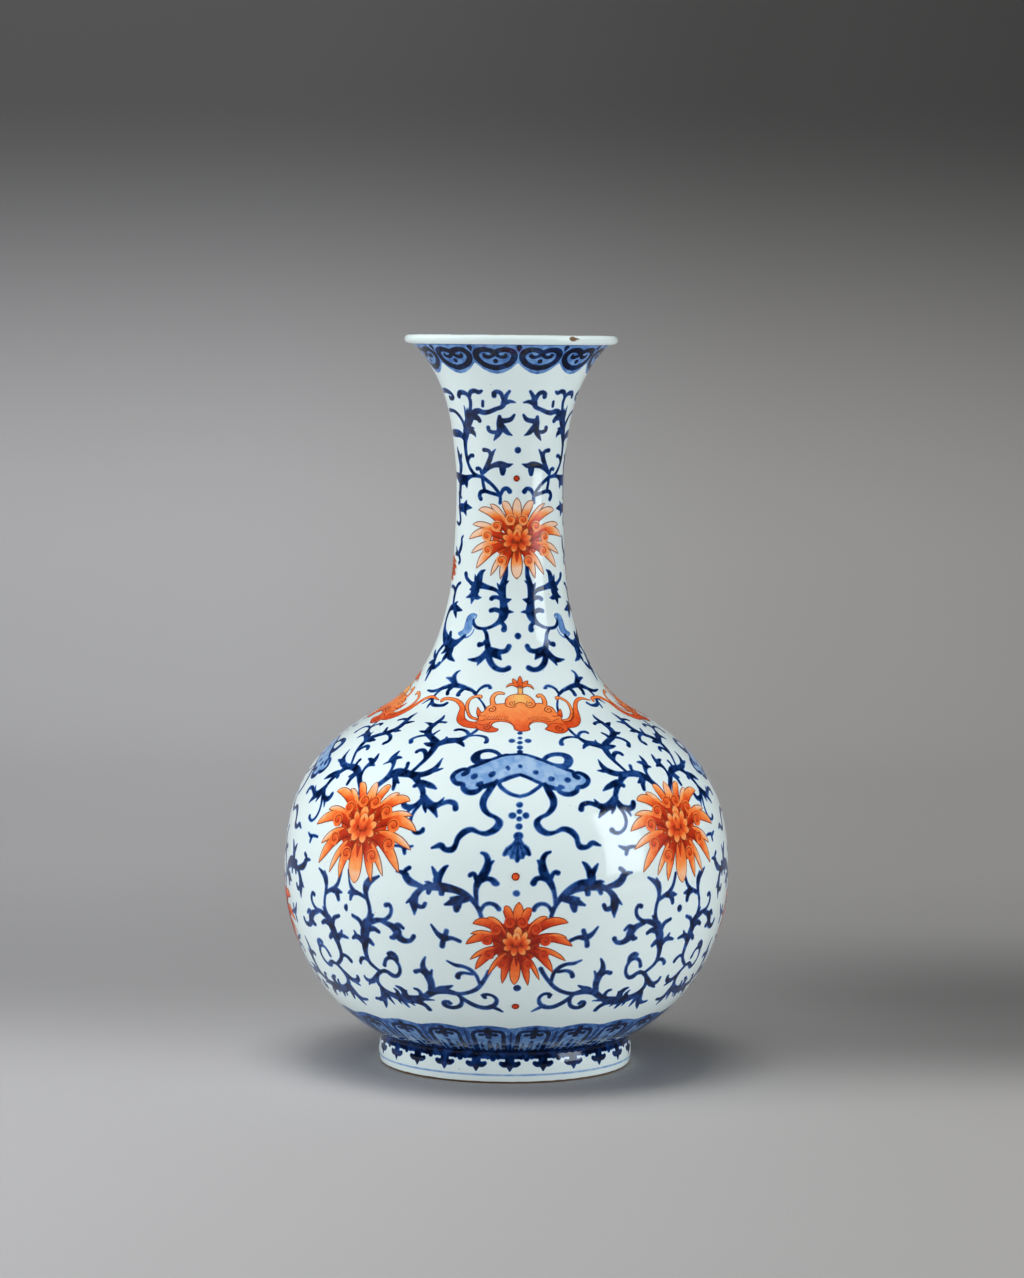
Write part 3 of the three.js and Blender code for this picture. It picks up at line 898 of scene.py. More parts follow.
    [(32, 43.2, 1.6), (34.4, 43.7, 1.7), (36.2, 43.9, 0.6)],
    [(36.2, 47.6, 1), (38.8, 48.2, 1.1), (41.4, 47.5, 1.2), (43, 46.1, 1.3), (43.4, 44.6, 1.5),
     (42.3, 43.3, 1.5)],
    [(36.6, 48, 1.5), (36.2, 49.7, 1.3), (35.2, 51.1, 0.9)],
    [(31.2, 43, 1.8), (28.9, 45.1, 2.6), (26.6, 46, 2.4), (25, 46.9, 1.9), (23.7, 48.7, 1.3),
     (22.8, 50.4, 1.1), (22.1, 52.5, 1.1), (21.7, 54.8, 1)],
    [(26, 46, 1.8), (24.2, 45, 1.4), (22.9, 43.6, 0.5)],
    [(28.8, 45.8, 1.8), (29.3, 46.6, 1), (29.6, 47.4, 0.4)],
    [(23.4, 49, 0.9), (21.2, 49.8, 0.9), (19, 49.7, 1), (16.9, 48.9, 1.1), (15.8, 47.4, 1.3),
     (15.6, 46.1, 1.6)],
    [(23.3, 49.6, 1.1), (24.6, 51.4, 1.1), (26.5, 52.5, 1.2), (28.2, 52.4, 1.4), (28.6, 51.8, 1.2)],
    # twin sprigs over the upper flower
    [(42.6, 28.6, 0.8), (41.9, 31.4, 0.9), (42.3, 33.3, 1.3), (43.4, 34.7, 2.1), (44, 36.4, 1.5),
     (43.8, 38.3, 0.6)],
    [(43.4, 35.2, 1.7), (42, 35.9, 1.2), (40.8, 36.1, 0.5)],
    [(43.2, 34.6, 1.7), (44.4, 34.2, 1.1), (45.3, 33.9, 0.5)],
    # sprig beside the upper flower
    [(31.3, 11.7, 0.5), (29.2, 11.8, 0.7), (27.4, 11.5, 0.9), (25.7, 12.2, 0.4)],
    [(28.2, 11.4, 0.8), (27.7, 10.5, 0.9), (27.6, 10.1, 0.8)],
    # ribbons of the chime
    [(7.1, 30, 1.2), (8.1, 27.6, 1.6), (9, 25.2, 1.7), (8.6, 22.9, 1.4), (7.1, 21.2, 1),
     (5.2, 20.2, 0.9), (4.2, 18.9, 1.4), (4.9, 17.2, 1.5), (6.7, 16.1, 1.2), (8.6, 16.3, 0.8),
     (10.8, 17.1, 1.1), (12.8, 16.5, 1.4), (14.1, 15.1, 1.2), (14.4, 13.7, 1.1), (15, 12.5, 1.3),
     (16.8, 12.4, 1), (18.3, 13.3, 1.2), (20.4, 12.6, 0.4)],
]
scroll = upright(BELLY_STROKES, SCROLL_WIDTH / DRAWN_WIDTH)
lappets = Painting(LAPPET_WIDTH, FOOT_RISE_HIGH, LAPPETS_TOP, softness=0.18, fine=0.6, grid=1.5)
LAPPET = [(0, -64.5), (8, -64.5), (8, -43.0), (7.1, -41.7), (5, -41), (2.5, -40.5), (0, -40.1)]
lappets.wash(mirrored(LAPPET), 0.40)
lappets.strokes([
    [(8, -44.4, 3.4), (6.6, -43.0, 2.8), (4.6, -42.2, 2.6), (2.3, -41.7, 2.6), (0, -41.4, 2.6),
     (-1, -41.4, 2.6)],
    [(7.5, -43, 3.2), (7.5, -52, 3.0), (7.5, -64.5, 3.4)],
], tone=0.60)
lappets.strokes([
    [(5.5, -64.5, 2.8), (5.3, -58, 2.2), (5.1, -50, 1.6), (5.1, -46, 1.5), (4.3, -44, 1.6), (2, -43.4, 1.5),
     (0, -43.2, 1.5), (-1, -43.2, 1.5)],
    [(0, -41.9, 1.8)],
    [(0, -45.3, 3.2)],
    [(2.3, -45.7, 2.1)],
    [(0, -47.4, 2.1)],
], tone=1.12)
lappets.strokes([
    [(0, -50.5, 1.2), (0, -56, 2.0), (0, -64.5, 2.8)],
    [(2.9, -52, 0.7), (2.9, -58, 1.4), (2.9, -64.5, 2.4)],
    [(7.5, -64.5, 2.0), (7.5, -57, 1.0), (7.5, -43.6, 0.5)],
], tone=1.0)
lappets.strokes([[(-1, -62.5, 5.6), (9, -62.5, 5.6)]], tone=1.15)
lower_scroll = Painting(SCROLL_WIDTH, SCROLL_LOW, 0.0, softness=0.24, fine=0.55)
lower_scroll.strokes(scroll, bold=1.04)
lower_scroll.strokes(round_dots((0, -24.5, 1.0), (45, -5, 0.9)))
lower_mesh = bmesh.new()
wrap(lower_mesh, lappets, lappet_drift)
wrap(lower_mesh, lower_scroll, scroll_drift)
weld(lower_mesh)
bmesh.ops.bridge_loops(
    lower_mesh, edges=boundary_loop(lower_mesh, LAPPETS_TOP) + boundary_loop(lower_mesh, SCROLL_LOW)
)
underside = [(0.0640, SEAM_FOOT), (0.03, SEAM_FOOT), (0.0, SEAM_FOOT)]
line_inside(lower_mesh, boundary_loop(lower_mesh, FOOT_RISE_HIGH), underside)
belly_inside = [*seam_edge(SEAM_BELLY, -1), *inside_between(SEAM_BELLY - SEAM_GAP, 0.0290, 24)]
belly_floor = [(0.062, 0.0238), (0.058, 0.0235), (0.03, 0.0235), (0.0, 0.0235)]
line_inside(lower_mesh, boundary_loop(lower_mesh, 0.0), belly_inside + belly_floor)
lower_glaze = painted_glaze("lower_belly_glaze")
lower_piece = finish_wall(lower_mesh, "lower_belly_porcelain", lower_glaze.material)
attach(lower_piece, "root")
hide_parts("lower_belly")

# Slip at the widest girth: it joins the two halves of the belly, hides under the glaze and stays as a bead
# inside.
belly_slip_piece = slip_ring("belly_slip_fired", outer=0.1154, inner=inside_at(SEAM_BELLY)[0], z=SEAM_BELLY)
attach(belly_slip_piece, "root")
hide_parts("belly_slip_seam")

# Upper belly: the thrown shoulder, luted on the bowl. The upper scroll is painted over it, with a stone
# chime on its ribbons and tassel under each bat, and the first leaves of the neck's scroll.
CHIME = [
    (0, 41.7), (2.3, 41), (5, 39.7), (7.3, 38.5), (10, 36.8), (13, 35.2), (15.4, 34.1), (17.3, 33.5),
    (18.8, 32.5), (19.4, 31.2), (18.8, 29.7), (17.3, 28.9), (15.8, 28.7), (15.4, 27.5), (13.5, 26.6),
    (11.5, 27), (10.5, 28.1), (7.3, 29.5), (4.6, 30.8), (2.3, 32.2), (0, 33.3),
]
TASSEL = [
    (0, 14.8), (0.7, 14.6), (1.4, 13.6), (2.6, 12.6), (3.0, 11.6), (2.6, 10.9), (1.9, 10.6), (1.3, 9.9),
    (0, 9.3),
]
CHIME_LINES = [
    [(0, 41.7, 0.7), (2.6, 41, 0.8), (5, 39.8, 0.9), (7.4, 38.5, 0.9), (10, 37, 0.9), (13, 35.3, 0.9),
     (15.2, 34.2, 0.9)],
    [(15.6, 33.6, 0.9), (17.3, 33.5, 1), (18.8, 32.5, 1.1), (19.4, 31.1, 1.1), (18.7, 29.7, 1),
     (17.3, 28.9, 1), (15.8, 28.7, 1), (15.3, 27.6, 1.1), (13.6, 26.7, 1.1), (11.6, 26.9, 1.1),
     (10.4, 28, 1.1), (11, 29, 1.3)],
    [(15.4, 34, 0.9), (15.7, 32.6, 1.3), (16.4, 32, 1.3)],
    [(10.6, 28.4, 1.1), (9, 28.7, 1), (7.3, 29.5, 0.9), (4.6, 30.8, 0.8), (2.3, 32.2, 0.8),
     (0, 33.3, 0.8)],
    [(7.1, 39, 1.1), (8.8, 40.6, 1.3), (11.2, 41.3, 1.4), (13.5, 41, 1.6), (14.9, 39.7, 2.2),
     (14.8, 37.9, 2.2), (13.4, 36.4, 1.8), (11, 36.8, 0.9), (8.8, 37.6, 0.8), (7.2, 38.7, 0.8)],
    [(0, 26.2, 0.8), (2.3, 27, 0.8), (4.6, 28.7, 0.8), (5.9, 30, 0.8)],
]
upper_scroll = Painting(SCROLL_WIDTH, 0.0, SHOULDER_RISE, softness=0.24, fine=0.45)
upper_scroll.strokes(scroll, bold=1.12)
upper_scroll.wash(mirrored(CHIME), 0.28)
upper_scroll.strokes(CHIME_LINES, tone=0.92, bold=1.25)
upper_scroll.strokes(round_dots(
    (0, 36.4, 0.7), (4.4, 34.1, 0.8), (8.7, 31.8, 0.9), (13.3, 31.2, 0.9), (11.5, 28.9, 0.7),
    (16.3, 32.2, 0.6),
), tone=0.85)
upper_scroll.strokes(round_dots(
    (0, 52.7, 1.0), (0, 49.7, 0.8), (0, 47.2, 0.9), (0, 44.7, 1.0), (0, 42.6, 0.9), (2.8, 48.2, 1.15),
    (0, 23.8, 0.8), (0, 21.9, 0.65), (0, 19.9, 0.65), (0, 17.9, 0.8), (1.6, 20.8, 0.85), (0, 15.4, 1.1),
), tone=0.8)
upper_scroll.wash(mirrored(TASSEL), 0.62)
upper_scroll.strokes([
    [(0.5, 14.6, 0.5), (1.3, 13.0, 0.5), (2.4, 11.8, 0.7), (2.7, 10.9, 0.9)],
    [(0, 14.8, 0.7), (0, 12.4, 0.5), (0, 9.3, 0.9)],
    [(0.3, 14.0, 0.4), (0.9, 12.0, 0.4), (1.3, 10.1, 0.7)],
], tone=0.95)
upper_scroll.strokes(round_dots((0, 1.3, 0.75)))
NECK_STROKES = [
    # sprig over the mouth scroll
    [(27, 350, 3), (20, 352.6, 3.6), (17.6, 357.5, 5), (16.4, 362, 3.6), (13, 367, 2)],
    [(18.6, 359.5, 3), (20.4, 364.4, 3.4), (23.8, 366.2, 3.4), (26.8, 364.4, 3.8), (26.7, 362.4, 3.8)],
    [(18, 356, 4), (12.6, 357.8, 3), (8, 357, 1)],
    [(37, 357.6, 2.4), (37.4, 353.6, 2.6)],
    # leaves inside the mouth scroll
    [(22.2, 343.5, 3), (22, 338, 5.5), (22, 332, 5.5), (24.6, 326.5, 4.5), (28.2, 321, 1)],
    [(21, 339.5, 4.5), (16, 340, 4), (11.6, 341.4, 3.6), (8.6, 345.4, 2)],
    [(21, 334.5, 6), (17.6, 331, 5), (14.6, 328, 3.6), (10.6, 325.8, 1)],
    [(23.4, 329.6, 3.2), (29, 329, 3.2), (32.8, 330.8, 3.4), (33.2, 333.4, 3.6)],
    # the scroll that climbs to the mouth
    [(42.4, 282.6, 3), (48, 283.6, 3), (53.6, 286, 3.2), (58.6, 291, 3.4), (62, 297.5, 3.6),
     (63.6, 305.3, 4), (64, 312, 4.4), (63.4, 318.6, 5.4), (61.6, 325, 7.4), (59.6, 330.4, 8.6),
     (57, 336.4, 8.6), (53.4, 342, 8), (48, 346.6, 6), (42.4, 348.8, 4.6), (37, 347.6, 4.2),
     (31.4, 348.2, 3.6), (26, 350.2, 3.4)],
    [(57, 339, 5), (57.8, 346, 3.6), (58.6, 353.2, 0.8)],
    [(55, 341, 4), (55.6, 347, 2.4), (55, 351, 0.8)],
    [(49, 343.4, 5.6), (44.6, 342.4, 4.8), (42.2, 339.8, 4)],
    [(58, 331, 7), (53, 329.4, 5.6), (49.6, 326.4, 3.2), (48.6, 324, 1)],
    [(54, 331.4, 4), (51, 332.4, 2), (49.4, 332, 0.8)],
    [(63, 319.6, 5), (67, 323.6, 5), (73, 326, 6.4), (80, 326.6, 6.6), (90, 326.6, 6)],
    [(61, 329, 4.4), (63.8, 337.4, 3.6), (69, 343.6, 3.2), (76, 347.4, 3), (84, 348.4, 3),
     (90, 348.4, 3)],
    [(54, 345.6, 4), (51, 351.6, 3.2), (49.8, 358, 3.2), (51.4, 363, 3.4), (55.8, 365.4, 3.8),
     (60.6, 365, 4), (62.8, 362.4, 4.2)],
    [(50, 361.6, 3), (48, 365.6, 3.4), (43.6, 367, 3.4), (39.8, 365.6, 3.2), (37.2, 366.8, 2)],
    [(91, 366.4, 4), (81.6, 366.6, 4), (74.6, 364.8, 3.6), (72, 362, 3.4), (74.8, 359.8, 3.4),
     (78.6, 360.2, 3.8)],
    # leaf under the mouth scroll
    [(41.6, 286.8, 3.4), (35, 292, 4), (28, 295, 4.8), (21, 296, 6), (15, 295, 4.6), (9.4, 296.6, 1)],
    [(19.4, 294, 6), (19.2, 290, 6), (19.4, 286.4, 4.4)],
    [(41.8, 287.6, 3), (36, 296, 4.4), (32.8, 302, 5), (32.4, 306.4, 4), (34.8, 309.8, 3.4),
     (39.6, 310.6, 3.8)],
    [(32, 304, 4.4), (29.6, 308, 3), (27, 311.6, 1)],
    [(43.4, 286, 3), (44.6, 290, 3.2), (47, 291.6, 3.4), (49, 291, 3.8)],
    [(61.8, 298, 3), (60, 302, 3.4), (56.6, 304.4, 3.4), (53.6, 304.6, 3.6)],
    [(78, 286, 6), (76, 294, 7), (77.6, 302, 7), (80, 309, 4), (81, 313, 1)],
    [(77, 299, 6), (74, 303, 4), (72, 306, 1.4)],
    # stem from the neck flower
    [(23, 256, 3.2), (22.8, 261, 3.2), (24, 265.4, 3), (27, 269.6, 3), (31.4, 274.6, 3),
     (36.4, 278.6, 3.4), (42.4, 282.6, 4)],
    [(24, 263.6, 3), (28, 265, 3), (33, 266.2, 3.2), (39, 267.8, 3.6), (44.4, 266.4, 4),
     (46, 262.4, 4.4), (44.4, 259.4, 4.2)],
    [(39.6, 268, 3), (41.4, 275, 3.2), (42.6, 282, 3.4)],
    [(22.6, 264, 3), (19.4, 269.6, 3.8), (15, 270.6, 4), (12.2, 267.8, 4.8)],
    # cross stem and its leaves at the side
    [(43, 282.8, 3.6), (50, 283.4, 3), (57, 283, 3.4), (63, 281, 6), (70, 278.6, 10), (78, 278.6, 10),
     (84, 281, 8), (91, 283, 6)],
    [(66, 276, 8), (64.6, 272.4, 4), (64.4, 270.6, 1.6)],
    [(78, 275, 7), (79, 268, 6), (78.6, 262, 4), (76, 259, 2)],
    [(82, 264, 4), (80.6, 256, 4), (79.6, 246, 3.6), (77, 236, 3.4), (79, 231.6, 3.2), (84, 232, 3),
     (88, 233.4, 2)],
    [(80, 250, 6), (74, 249, 8), (69, 249.4, 7), (63.6, 249.8, 5.6), (56.4, 249.2, 1)],
    [(68.6, 251, 6), (66.4, 254, 4), (65, 256.2, 1.4)],
    [(69.6, 247, 6), (67.4, 244, 4), (66, 241.4, 1.4)],
    [(86, 200, 3), (77, 200, 4), (73, 205, 4.4), (71, 211, 3.6), (71.4, 216.6, 3), (69.4, 219.4, 2)],
    [(77, 199.4, 3.4), (73.8, 196, 3.6), (73, 192.4, 3.4), (75, 190.6, 3)],
    [(80, 201, 4), (83, 204, 3), (84.8, 207, 1.2)],
    # band from the neck flower down to its stem
    [(15, 190, 3.4), (15, 182, 4), (16.8, 174.6, 5), (18.6, 167, 6.6), (18.4, 160, 6.4),
     (17.4, 152.6, 6.6), (16.8, 146, 8.4), (18, 140.4, 7), (21.2, 136.2, 4), (25.4, 133.2, 2.6),
     (29, 131.6, 2.3), (34.4, 130.6, 2.2), (40.4, 131.4, 2.3), (43.6, 134.2, 2.6), (44.6, 137.6, 2)],
    [(16.6, 172.6, 4.4), (14.4, 174, 2.6), (12.4, 175.4, 0.8)],
    [(17, 155, 5), (13.6, 156.4, 4), (10.2, 157.4, 1)],
    [(16, 145.6, 4), (12, 145.8, 3), (8, 145.6, 0.8)],
    [(19.4, 166, 4), (21.6, 169.6, 3), (23.4, 173, 0.8)],
    [(19.4, 157.6, 4), (24, 159, 3.4), (27.6, 158.6, 3.6), (29.2, 157.4, 3.8)],
    [(20.4, 145.6, 3.6), (25, 147.2, 3.6), (29, 146.4, 3.6)],
    [(21, 136.4, 3), (17.6, 135, 3), (15.8, 132.4, 3.6), (16, 130, 4.4)],
    # branch beside the band
    [(20.4, 161, 3), (22.6, 164.4, 3.2), (27, 166.8, 3.6), (34.4, 168.6, 4.4), (40.6, 170.2, 6),
     (46, 170.4, 7), (51, 171.4, 4), (55, 173.6, 3.2), (59, 176.6, 3.6), (60.8, 180.4, 4.6)],
    [(43.6, 171.6, 7), (43, 177.6, 6.6), (41, 183, 4.4), (37.4, 185.8, 1.2)],
    [(46, 173, 5), (47.4, 177, 3), (48.2, 180.4, 1)],
    [(47, 168, 9), (46.8, 162.6, 8.6), (45, 159.2, 5.4), (42.4, 158.2, 3.4), (39.4, 158.4, 0.8)],
    [(47.6, 162, 7), (49, 157, 4.6), (49.6, 152.6, 1.2)],
    [(48.4, 163, 6), (52, 159.6, 3.8), (56.6, 158, 1)],
    [(48.4, 168, 5), (51.4, 166.4, 2.6), (53.6, 165.4, 0.8)],
    # stems at the root of the neck
    [(34, 130.8, 2), (30.4, 126.6, 2.6), (28.6, 121, 3), (27.2, 115.6, 4.2), (25.6, 110, 4.4),
     (24.6, 105.4, 4), (21.8, 101, 3.6), (17.6, 98.2, 3.2), (13.4, 97.8, 3.2), (10.8, 99.2, 3.4)],
    [(26.6, 114, 4), (22, 112.4, 4.4), (17, 111.8, 3.4), (13, 113, 3.4), (11.4, 116, 3.6)],
    [(24.4, 112, 4.8), (19.8, 109.2, 4.8), (16.6, 105.8, 1)],
    [(27, 112, 4), (29.4, 108, 4.4), (32, 105.4, 4.4), (36.2, 104.4, 3), (41.4, 104.6, 0.8)],
    [(30.6, 106.4, 4), (32, 103.4, 3), (33, 100.6, 0.8)],
    [(29.4, 121, 2.4), (31.8, 117.8, 2.8), (34.8, 117, 3.8)],
    # stem beyond the pale leaf
    [(50.6, 123.6, 2.4), (56, 118.6, 3.6), (60.8, 116, 6.4), (66, 115.8, 8), (71, 117.6, 7.4),
     (77, 121.6, 6), (82, 127, 4.6), (84.4, 134, 4), (83.6, 141, 4.4), (80, 146, 5), (74, 148, 6),
     (67, 146.6, 5), (60, 145.6, 1)],
    [(63, 115, 7), (62, 109, 6.4), (59.6, 105.4, 4), (53.4, 102.6, 0.8)],
    [(62.6, 108.6, 5), (64.8, 104.4, 3.6), (65.8, 100.6, 1)],
    [(66, 113, 6), (68, 109.6, 3.6), (70.8, 107.6, 1)],
    [(68.4, 118, 4.4), (68, 121.6, 3), (69.6, 124, 3.4)],
    [(71, 144.6, 5), (68.6, 141.4, 3.6), (67, 138.4, 1.4)],
    [(74, 149, 4), (71, 152, 2.4), (68.6, 153.4, 0.8)],
    [(71.6, 116, 3), (75.4, 111.4, 3), (77.6, 107, 3.4), (76.8, 101.6, 4), (74, 97.6, 3.6),
     (70.6, 96.8, 3.2), (67.8, 99.4, 3.4)],
    [(77.4, 105, 3.6), (81, 105, 3), (84.4, 108, 2.6)],
    [(75, 98.4, 3.6), (73.6, 92, 3), (71.8, 86.6, 1)],
    [(76.6, 98.8, 3.6), (78, 94.6, 2.6), (77.4, 91.6, 0.8)],
    [(77, 101, 3.6), (81, 100, 3), (85, 99, 1)],
    [(68.4, 171.6, 2.4), (73, 169.6, 3.4), (76.4, 165, 4), (77.4, 158.6, 4), (76.6, 151, 3.4)],
    [(77.4, 163, 4), (80.8, 166, 3.4), (86, 167, 3), (90.6, 166.6, 2.6)],
    # sprig over the bat
    [(27, 79.6, 1.5), (30.6, 82, 1.9), (35.4, 83.6, 2.3), (40, 84.8, 2.7), (44.4, 84.9, 3.2),
     (49, 83.4, 2.7), (53.4, 81, 2.3), (57.4, 79.8, 1.8), (62, 80.2, 0.8)],
    [(27.2, 79.6, 1.4), (26, 83.2, 1.5), (23.4, 85.4, 1.5), (20.6, 85.6, 1.6), (19.4, 84.2, 1.9)],
    [(43, 85.4, 3), (46, 88.4, 3.4), (47.4, 91.8, 2.8), (46.6, 94.4, 1.6), (44.8, 95.8, 0.5)],
    [(46.4, 88.2, 2.8), (49.6, 89.6, 2.2), (53, 90, 0.5)],
    [(36, 83.6, 2.2), (37.6, 81, 2.3), (37.8, 78.8, 2.6)],
    [(44.6, 83.6, 2.4), (45.6, 81, 2.3), (45, 78.8, 2)],
    [(51.4, 81.6, 1.6), (53, 78, 1.6), (52.8, 75, 1.7), (51, 71.8, 1.9), (47.8, 70.2, 2),
     (44.6, 70.6, 1.7), (42.8, 72.4, 1.6)],
    [(51.6, 72.6, 1.8), (51.6, 70, 1.4), (51, 67.8, 0.5)],
    [(52.8, 75.6, 1.4), (55, 73.6, 1.2), (57, 70.6, 0.5)],
    [(27, 79.8, 1.2), (24.8, 76, 1), (22.8, 71.4, 1), (21.6, 66, 1)],
]
neck_strokes = upright(NECK_STROKES)
shoulder_top = Painting(NECK_WIDTH, SHOULDER_RISE, SEAM_NECK_RISE, softness=0.3, fine=0.7)
shoulder_top.strokes(neck_strokes, bold=1.12)
upper_mesh = bmesh.new()
wrap(upper_mesh, upper_scroll, scroll_drift)
wrap(upper_mesh, shoulder_top, scroll_drift)
weld(upper_mesh)
shoulder_inside = seam_edge(SEAM_BELLY, 1) + inside_between(SEAM_BELLY + SEAM_GAP, SEAM_NECK - SEAM_GAP, 30)
last_ring = line_inside(upper_mesh, boundary_loop(upper_mesh, 0.0), shoulder_inside)
next_ring = line_inside(upper_mesh, boundary_loop(upper_mesh, SEAM_NECK_RISE), seam_edge(SEAM_NECK, -1))
bmesh.ops.bridge_loops(upper_mesh, edges=last_ring + next_ring)
upper_glaze = painted_glaze("upper_belly_glaze")
upper_piece = finish_wall(upper_mesh, "upper_belly_porcelain", upper_glaze.material)
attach(upper_piece, "root")
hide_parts("upper_belly")

# Slip at the root of the neck: it joins the neck to the shoulder, level with both outside, and stays as a
# bead inside.
SLIP_INSET = 0.0007
shoulder_edge = wall.radius_at(SEAM_NECK) - SLIP_INSET
neck_slip_piece = slip_ring("neck_slip_fired", shoulder_edge, inside_at(SEAM_NECK)[0], SEAM_NECK)
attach(neck_slip_piece, "root")
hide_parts("neck_slip_seam")

# Neck: the thrown, waisted tube between the shoulder and the mouth. Its scroll holds a flower at the front
# and one at the back, and a pale leaf grows from a thin stem beside its root. The one leaf that is washed
# in a pale blue inside a thin line.
PALE_LEAF = [
    [(44.6, 142, 3), (47, 140, 5.6), (48.6, 135, 7.4), (49, 130, 8.4), (51, 126.4, 6),
     (54.6, 125.6, 3.4), (58.4, 125, 0.8)],
]
PALE_LEAF_LINE = [
    [(44.6, 137.6, 1.4), (42.8, 139.4, 0.9), (42, 141.6, 0.9), (44, 143, 0.9), (48, 142.6, 0.9),
     (51.4, 139.6, 0.8), (52.6, 134, 0.8), (53, 129.6, 0.8), (55, 127, 0.8), (58.8, 125.2, 0.8),
     (55.4, 123.2, 0.9), (51.6, 121.8, 1.1), (47.4, 122.6, 0.9), (44, 125.6, 0.8), (42.6, 129.4, 0.8)],
]
neck_painting = Painting(NECK_WIDTH, SEAM_NECK_RISE, SEAM_MOUTH_RISE, softness=0.6, fine=1.4)
neck_painting.strokes(neck_strokes, bold=1.12)
neck_painting.strokes(upright(PALE_LEAF), tone=0.42)
neck_painting.strokes(upright(PALE_LEAF_LINE), tone=0.7)
neck_painting.strokes(round_dots((0, 124.5, 2.6)))
neck_mesh = bmesh.new()
wrap(neck_mesh, neck_painting, scroll_drift)
weld(neck_mesh)
neck_inside = seam_edge(SEAM_NECK, 1) + inside_between(SEAM_NECK + SEAM_GAP, SEAM_MOUTH - SEAM_GAP, 24)
last_ring = line_inside(neck_mesh, boundary_loop(neck_mesh, SEAM_NECK_RISE), neck_inside)
next_ring = line_inside(neck_mesh, boundary_loop(neck_mesh, SEAM_MOUTH_RISE), seam_edge(SEAM_MOUTH, -1))
bmesh.ops.bridge_loops(neck_mesh, edges=last_ring + next_ring)
neck_glaze = painted_glaze("neck_glaze")
neck_piece = finish_wall(neck_mesh, "neck_porcelain", neck_glaze.material)
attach(neck_piece, "root")
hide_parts("neck")

# Slip at the waist: it joins the mouth to the neck, level with both outside, and stays as a bead inside the
# narrowest part of the bore.
waist_edge = wall.radius_at(SEAM_MOUTH) - SLIP_INSET
mouth_slip_piece = slip_ring("mouth_slip_fired", waist_edge, inside_at(SEAM_MOUTH)[0], SEAM_MOUTH)
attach(mouth_slip_piece, "root")
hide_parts("mouth_slip_seam")

# Mouth: the thrown flare of the trumpet, with a band of ruyi heads under the rolled lip. The lip is worn to
# the clay in places, and a knock has chipped it at the right of the front.
LIP_TOP = float(wall.rise[-1])
RUYI_WIDTH = 15
BAND_GAP = 0.5
RUYI = [(0, 381.9), (5, 382.9), (10, 386), (15, 391.2), (16, 391.2), (16, 405.4), (0, 405.4)]


def mouth_drift(x, y):
    """The ruyi heads stand a little to the left of the columns."""
    return x - 13.7, y


mouth_painting = Painting(NECK_WIDTH, SEAM_MOUTH_RISE, BAND_LOW, softness=0.6, fine=1.4)
mouth_painting.strokes(neck_strokes, bold=1.12)
mouth_painting.strokes(round_dots((0, 311, 3.2)))
ruyi_band = Painting(RUYI_WIDTH, BAND_LOW + BAND_GAP, LIP_TOP, softness=0.25, fine=0.5, grid=1.5)
ruyi_band.wash(mirrored(RUYI), 0.44)
ruyi_band.strokes([
    [(-1, 387.0, 4.2), (0, 387.0, 4.2), (5, 388.1, 4.2), (9.2, 390.4, 4.2), (12.0, 394.0, 4.2),
     (12.4, 397.6, 4.2), (10.8, 400.6, 4.2), (7.3, 402.0, 4.0), (3.5, 401.4, 3.8), (0, 399.6, 4.0),
     (-1, 399.6, 4.0)],
    [(0, 398.8, 3.4), (2.2, 396.6, 2.6), (4.8, 395.8, 2.8), (6.8, 396.8, 2.8), (6.9, 397.9, 1.8)],
    [(0, 392.6, 3.4)],
    [(15, 404.0, 3.4), (15, 402.6, 2.4), (15, 400.8, 0.6)],
], tone=1.28)
ruyi_band.strokes([[(-1, 405.9, 0.9), (16, 405.9, 0.9)]], tone=0.62)
mouth_mesh = bmesh.new()
wrap(mouth_mesh, mouth_painting, scroll_drift)
wrap(mouth_mesh, ruyi_band, mouth_drift)
weld(mouth_mesh)
bmesh.ops.bridge_loops(
    mouth_mesh, edges=boundary_loop(mouth_mesh, BAND_LOW) + boundary_loop(mouth_mesh, BAND_LOW + BAND_GAP)
)
roll = [Vector(LIP_CENTRE) + towards(90 + (LIP_END - 90) * step / 8) * LIP_ROLL for step in range(1, 9)]
flare_inside = [tuple(point) for point in roll] + inside_between(0.3755, SEAM_MOUTH + SEAM_GAP, 24)
last_ring = line_inside(mouth_mesh, boundary_loop(mouth_mesh, LIP_TOP), flare_inside)
next_ring = line_inside(mouth_mesh, boundary_loop(mouth_mesh, SEAM_MOUTH_RISE), seam_edge(SEAM_MOUTH, 1))
bmesh.ops.bridge_loops(mouth_mesh, edges=last_ring + next_ring)
# The chip is a run of small knocks along the rim: degrees round from the front, and their sizes.
CHIP_RADIUS = 0.0552
CHIP_HEIGHT = 0.3783
CHIP_SIZES = {33.0: 0.0009, 34.0: 0.0014, 35.1: 0.0015, 36.3: 0.0010, 37.4: 0.0007, 38.5: 0.0005}
lip_chips = []
for degrees, size in CHIP_SIZES.items():
    angle = math.radians(degrees)
    lip_chips.append(((CHIP_RADIUS * math.sin(angle), -CHIP_RADIUS * math.cos(angle), CHIP_HEIGHT), size))
mouth_glaze = painted_glaze("mouth_glaze", worn_above=0.3795, chips=lip_chips)
mouth_piece = finish_wall(mouth_mesh, "mouth_porcelain", mouth_glaze.material)
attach(mouth_piece, "root")
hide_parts("mouth")

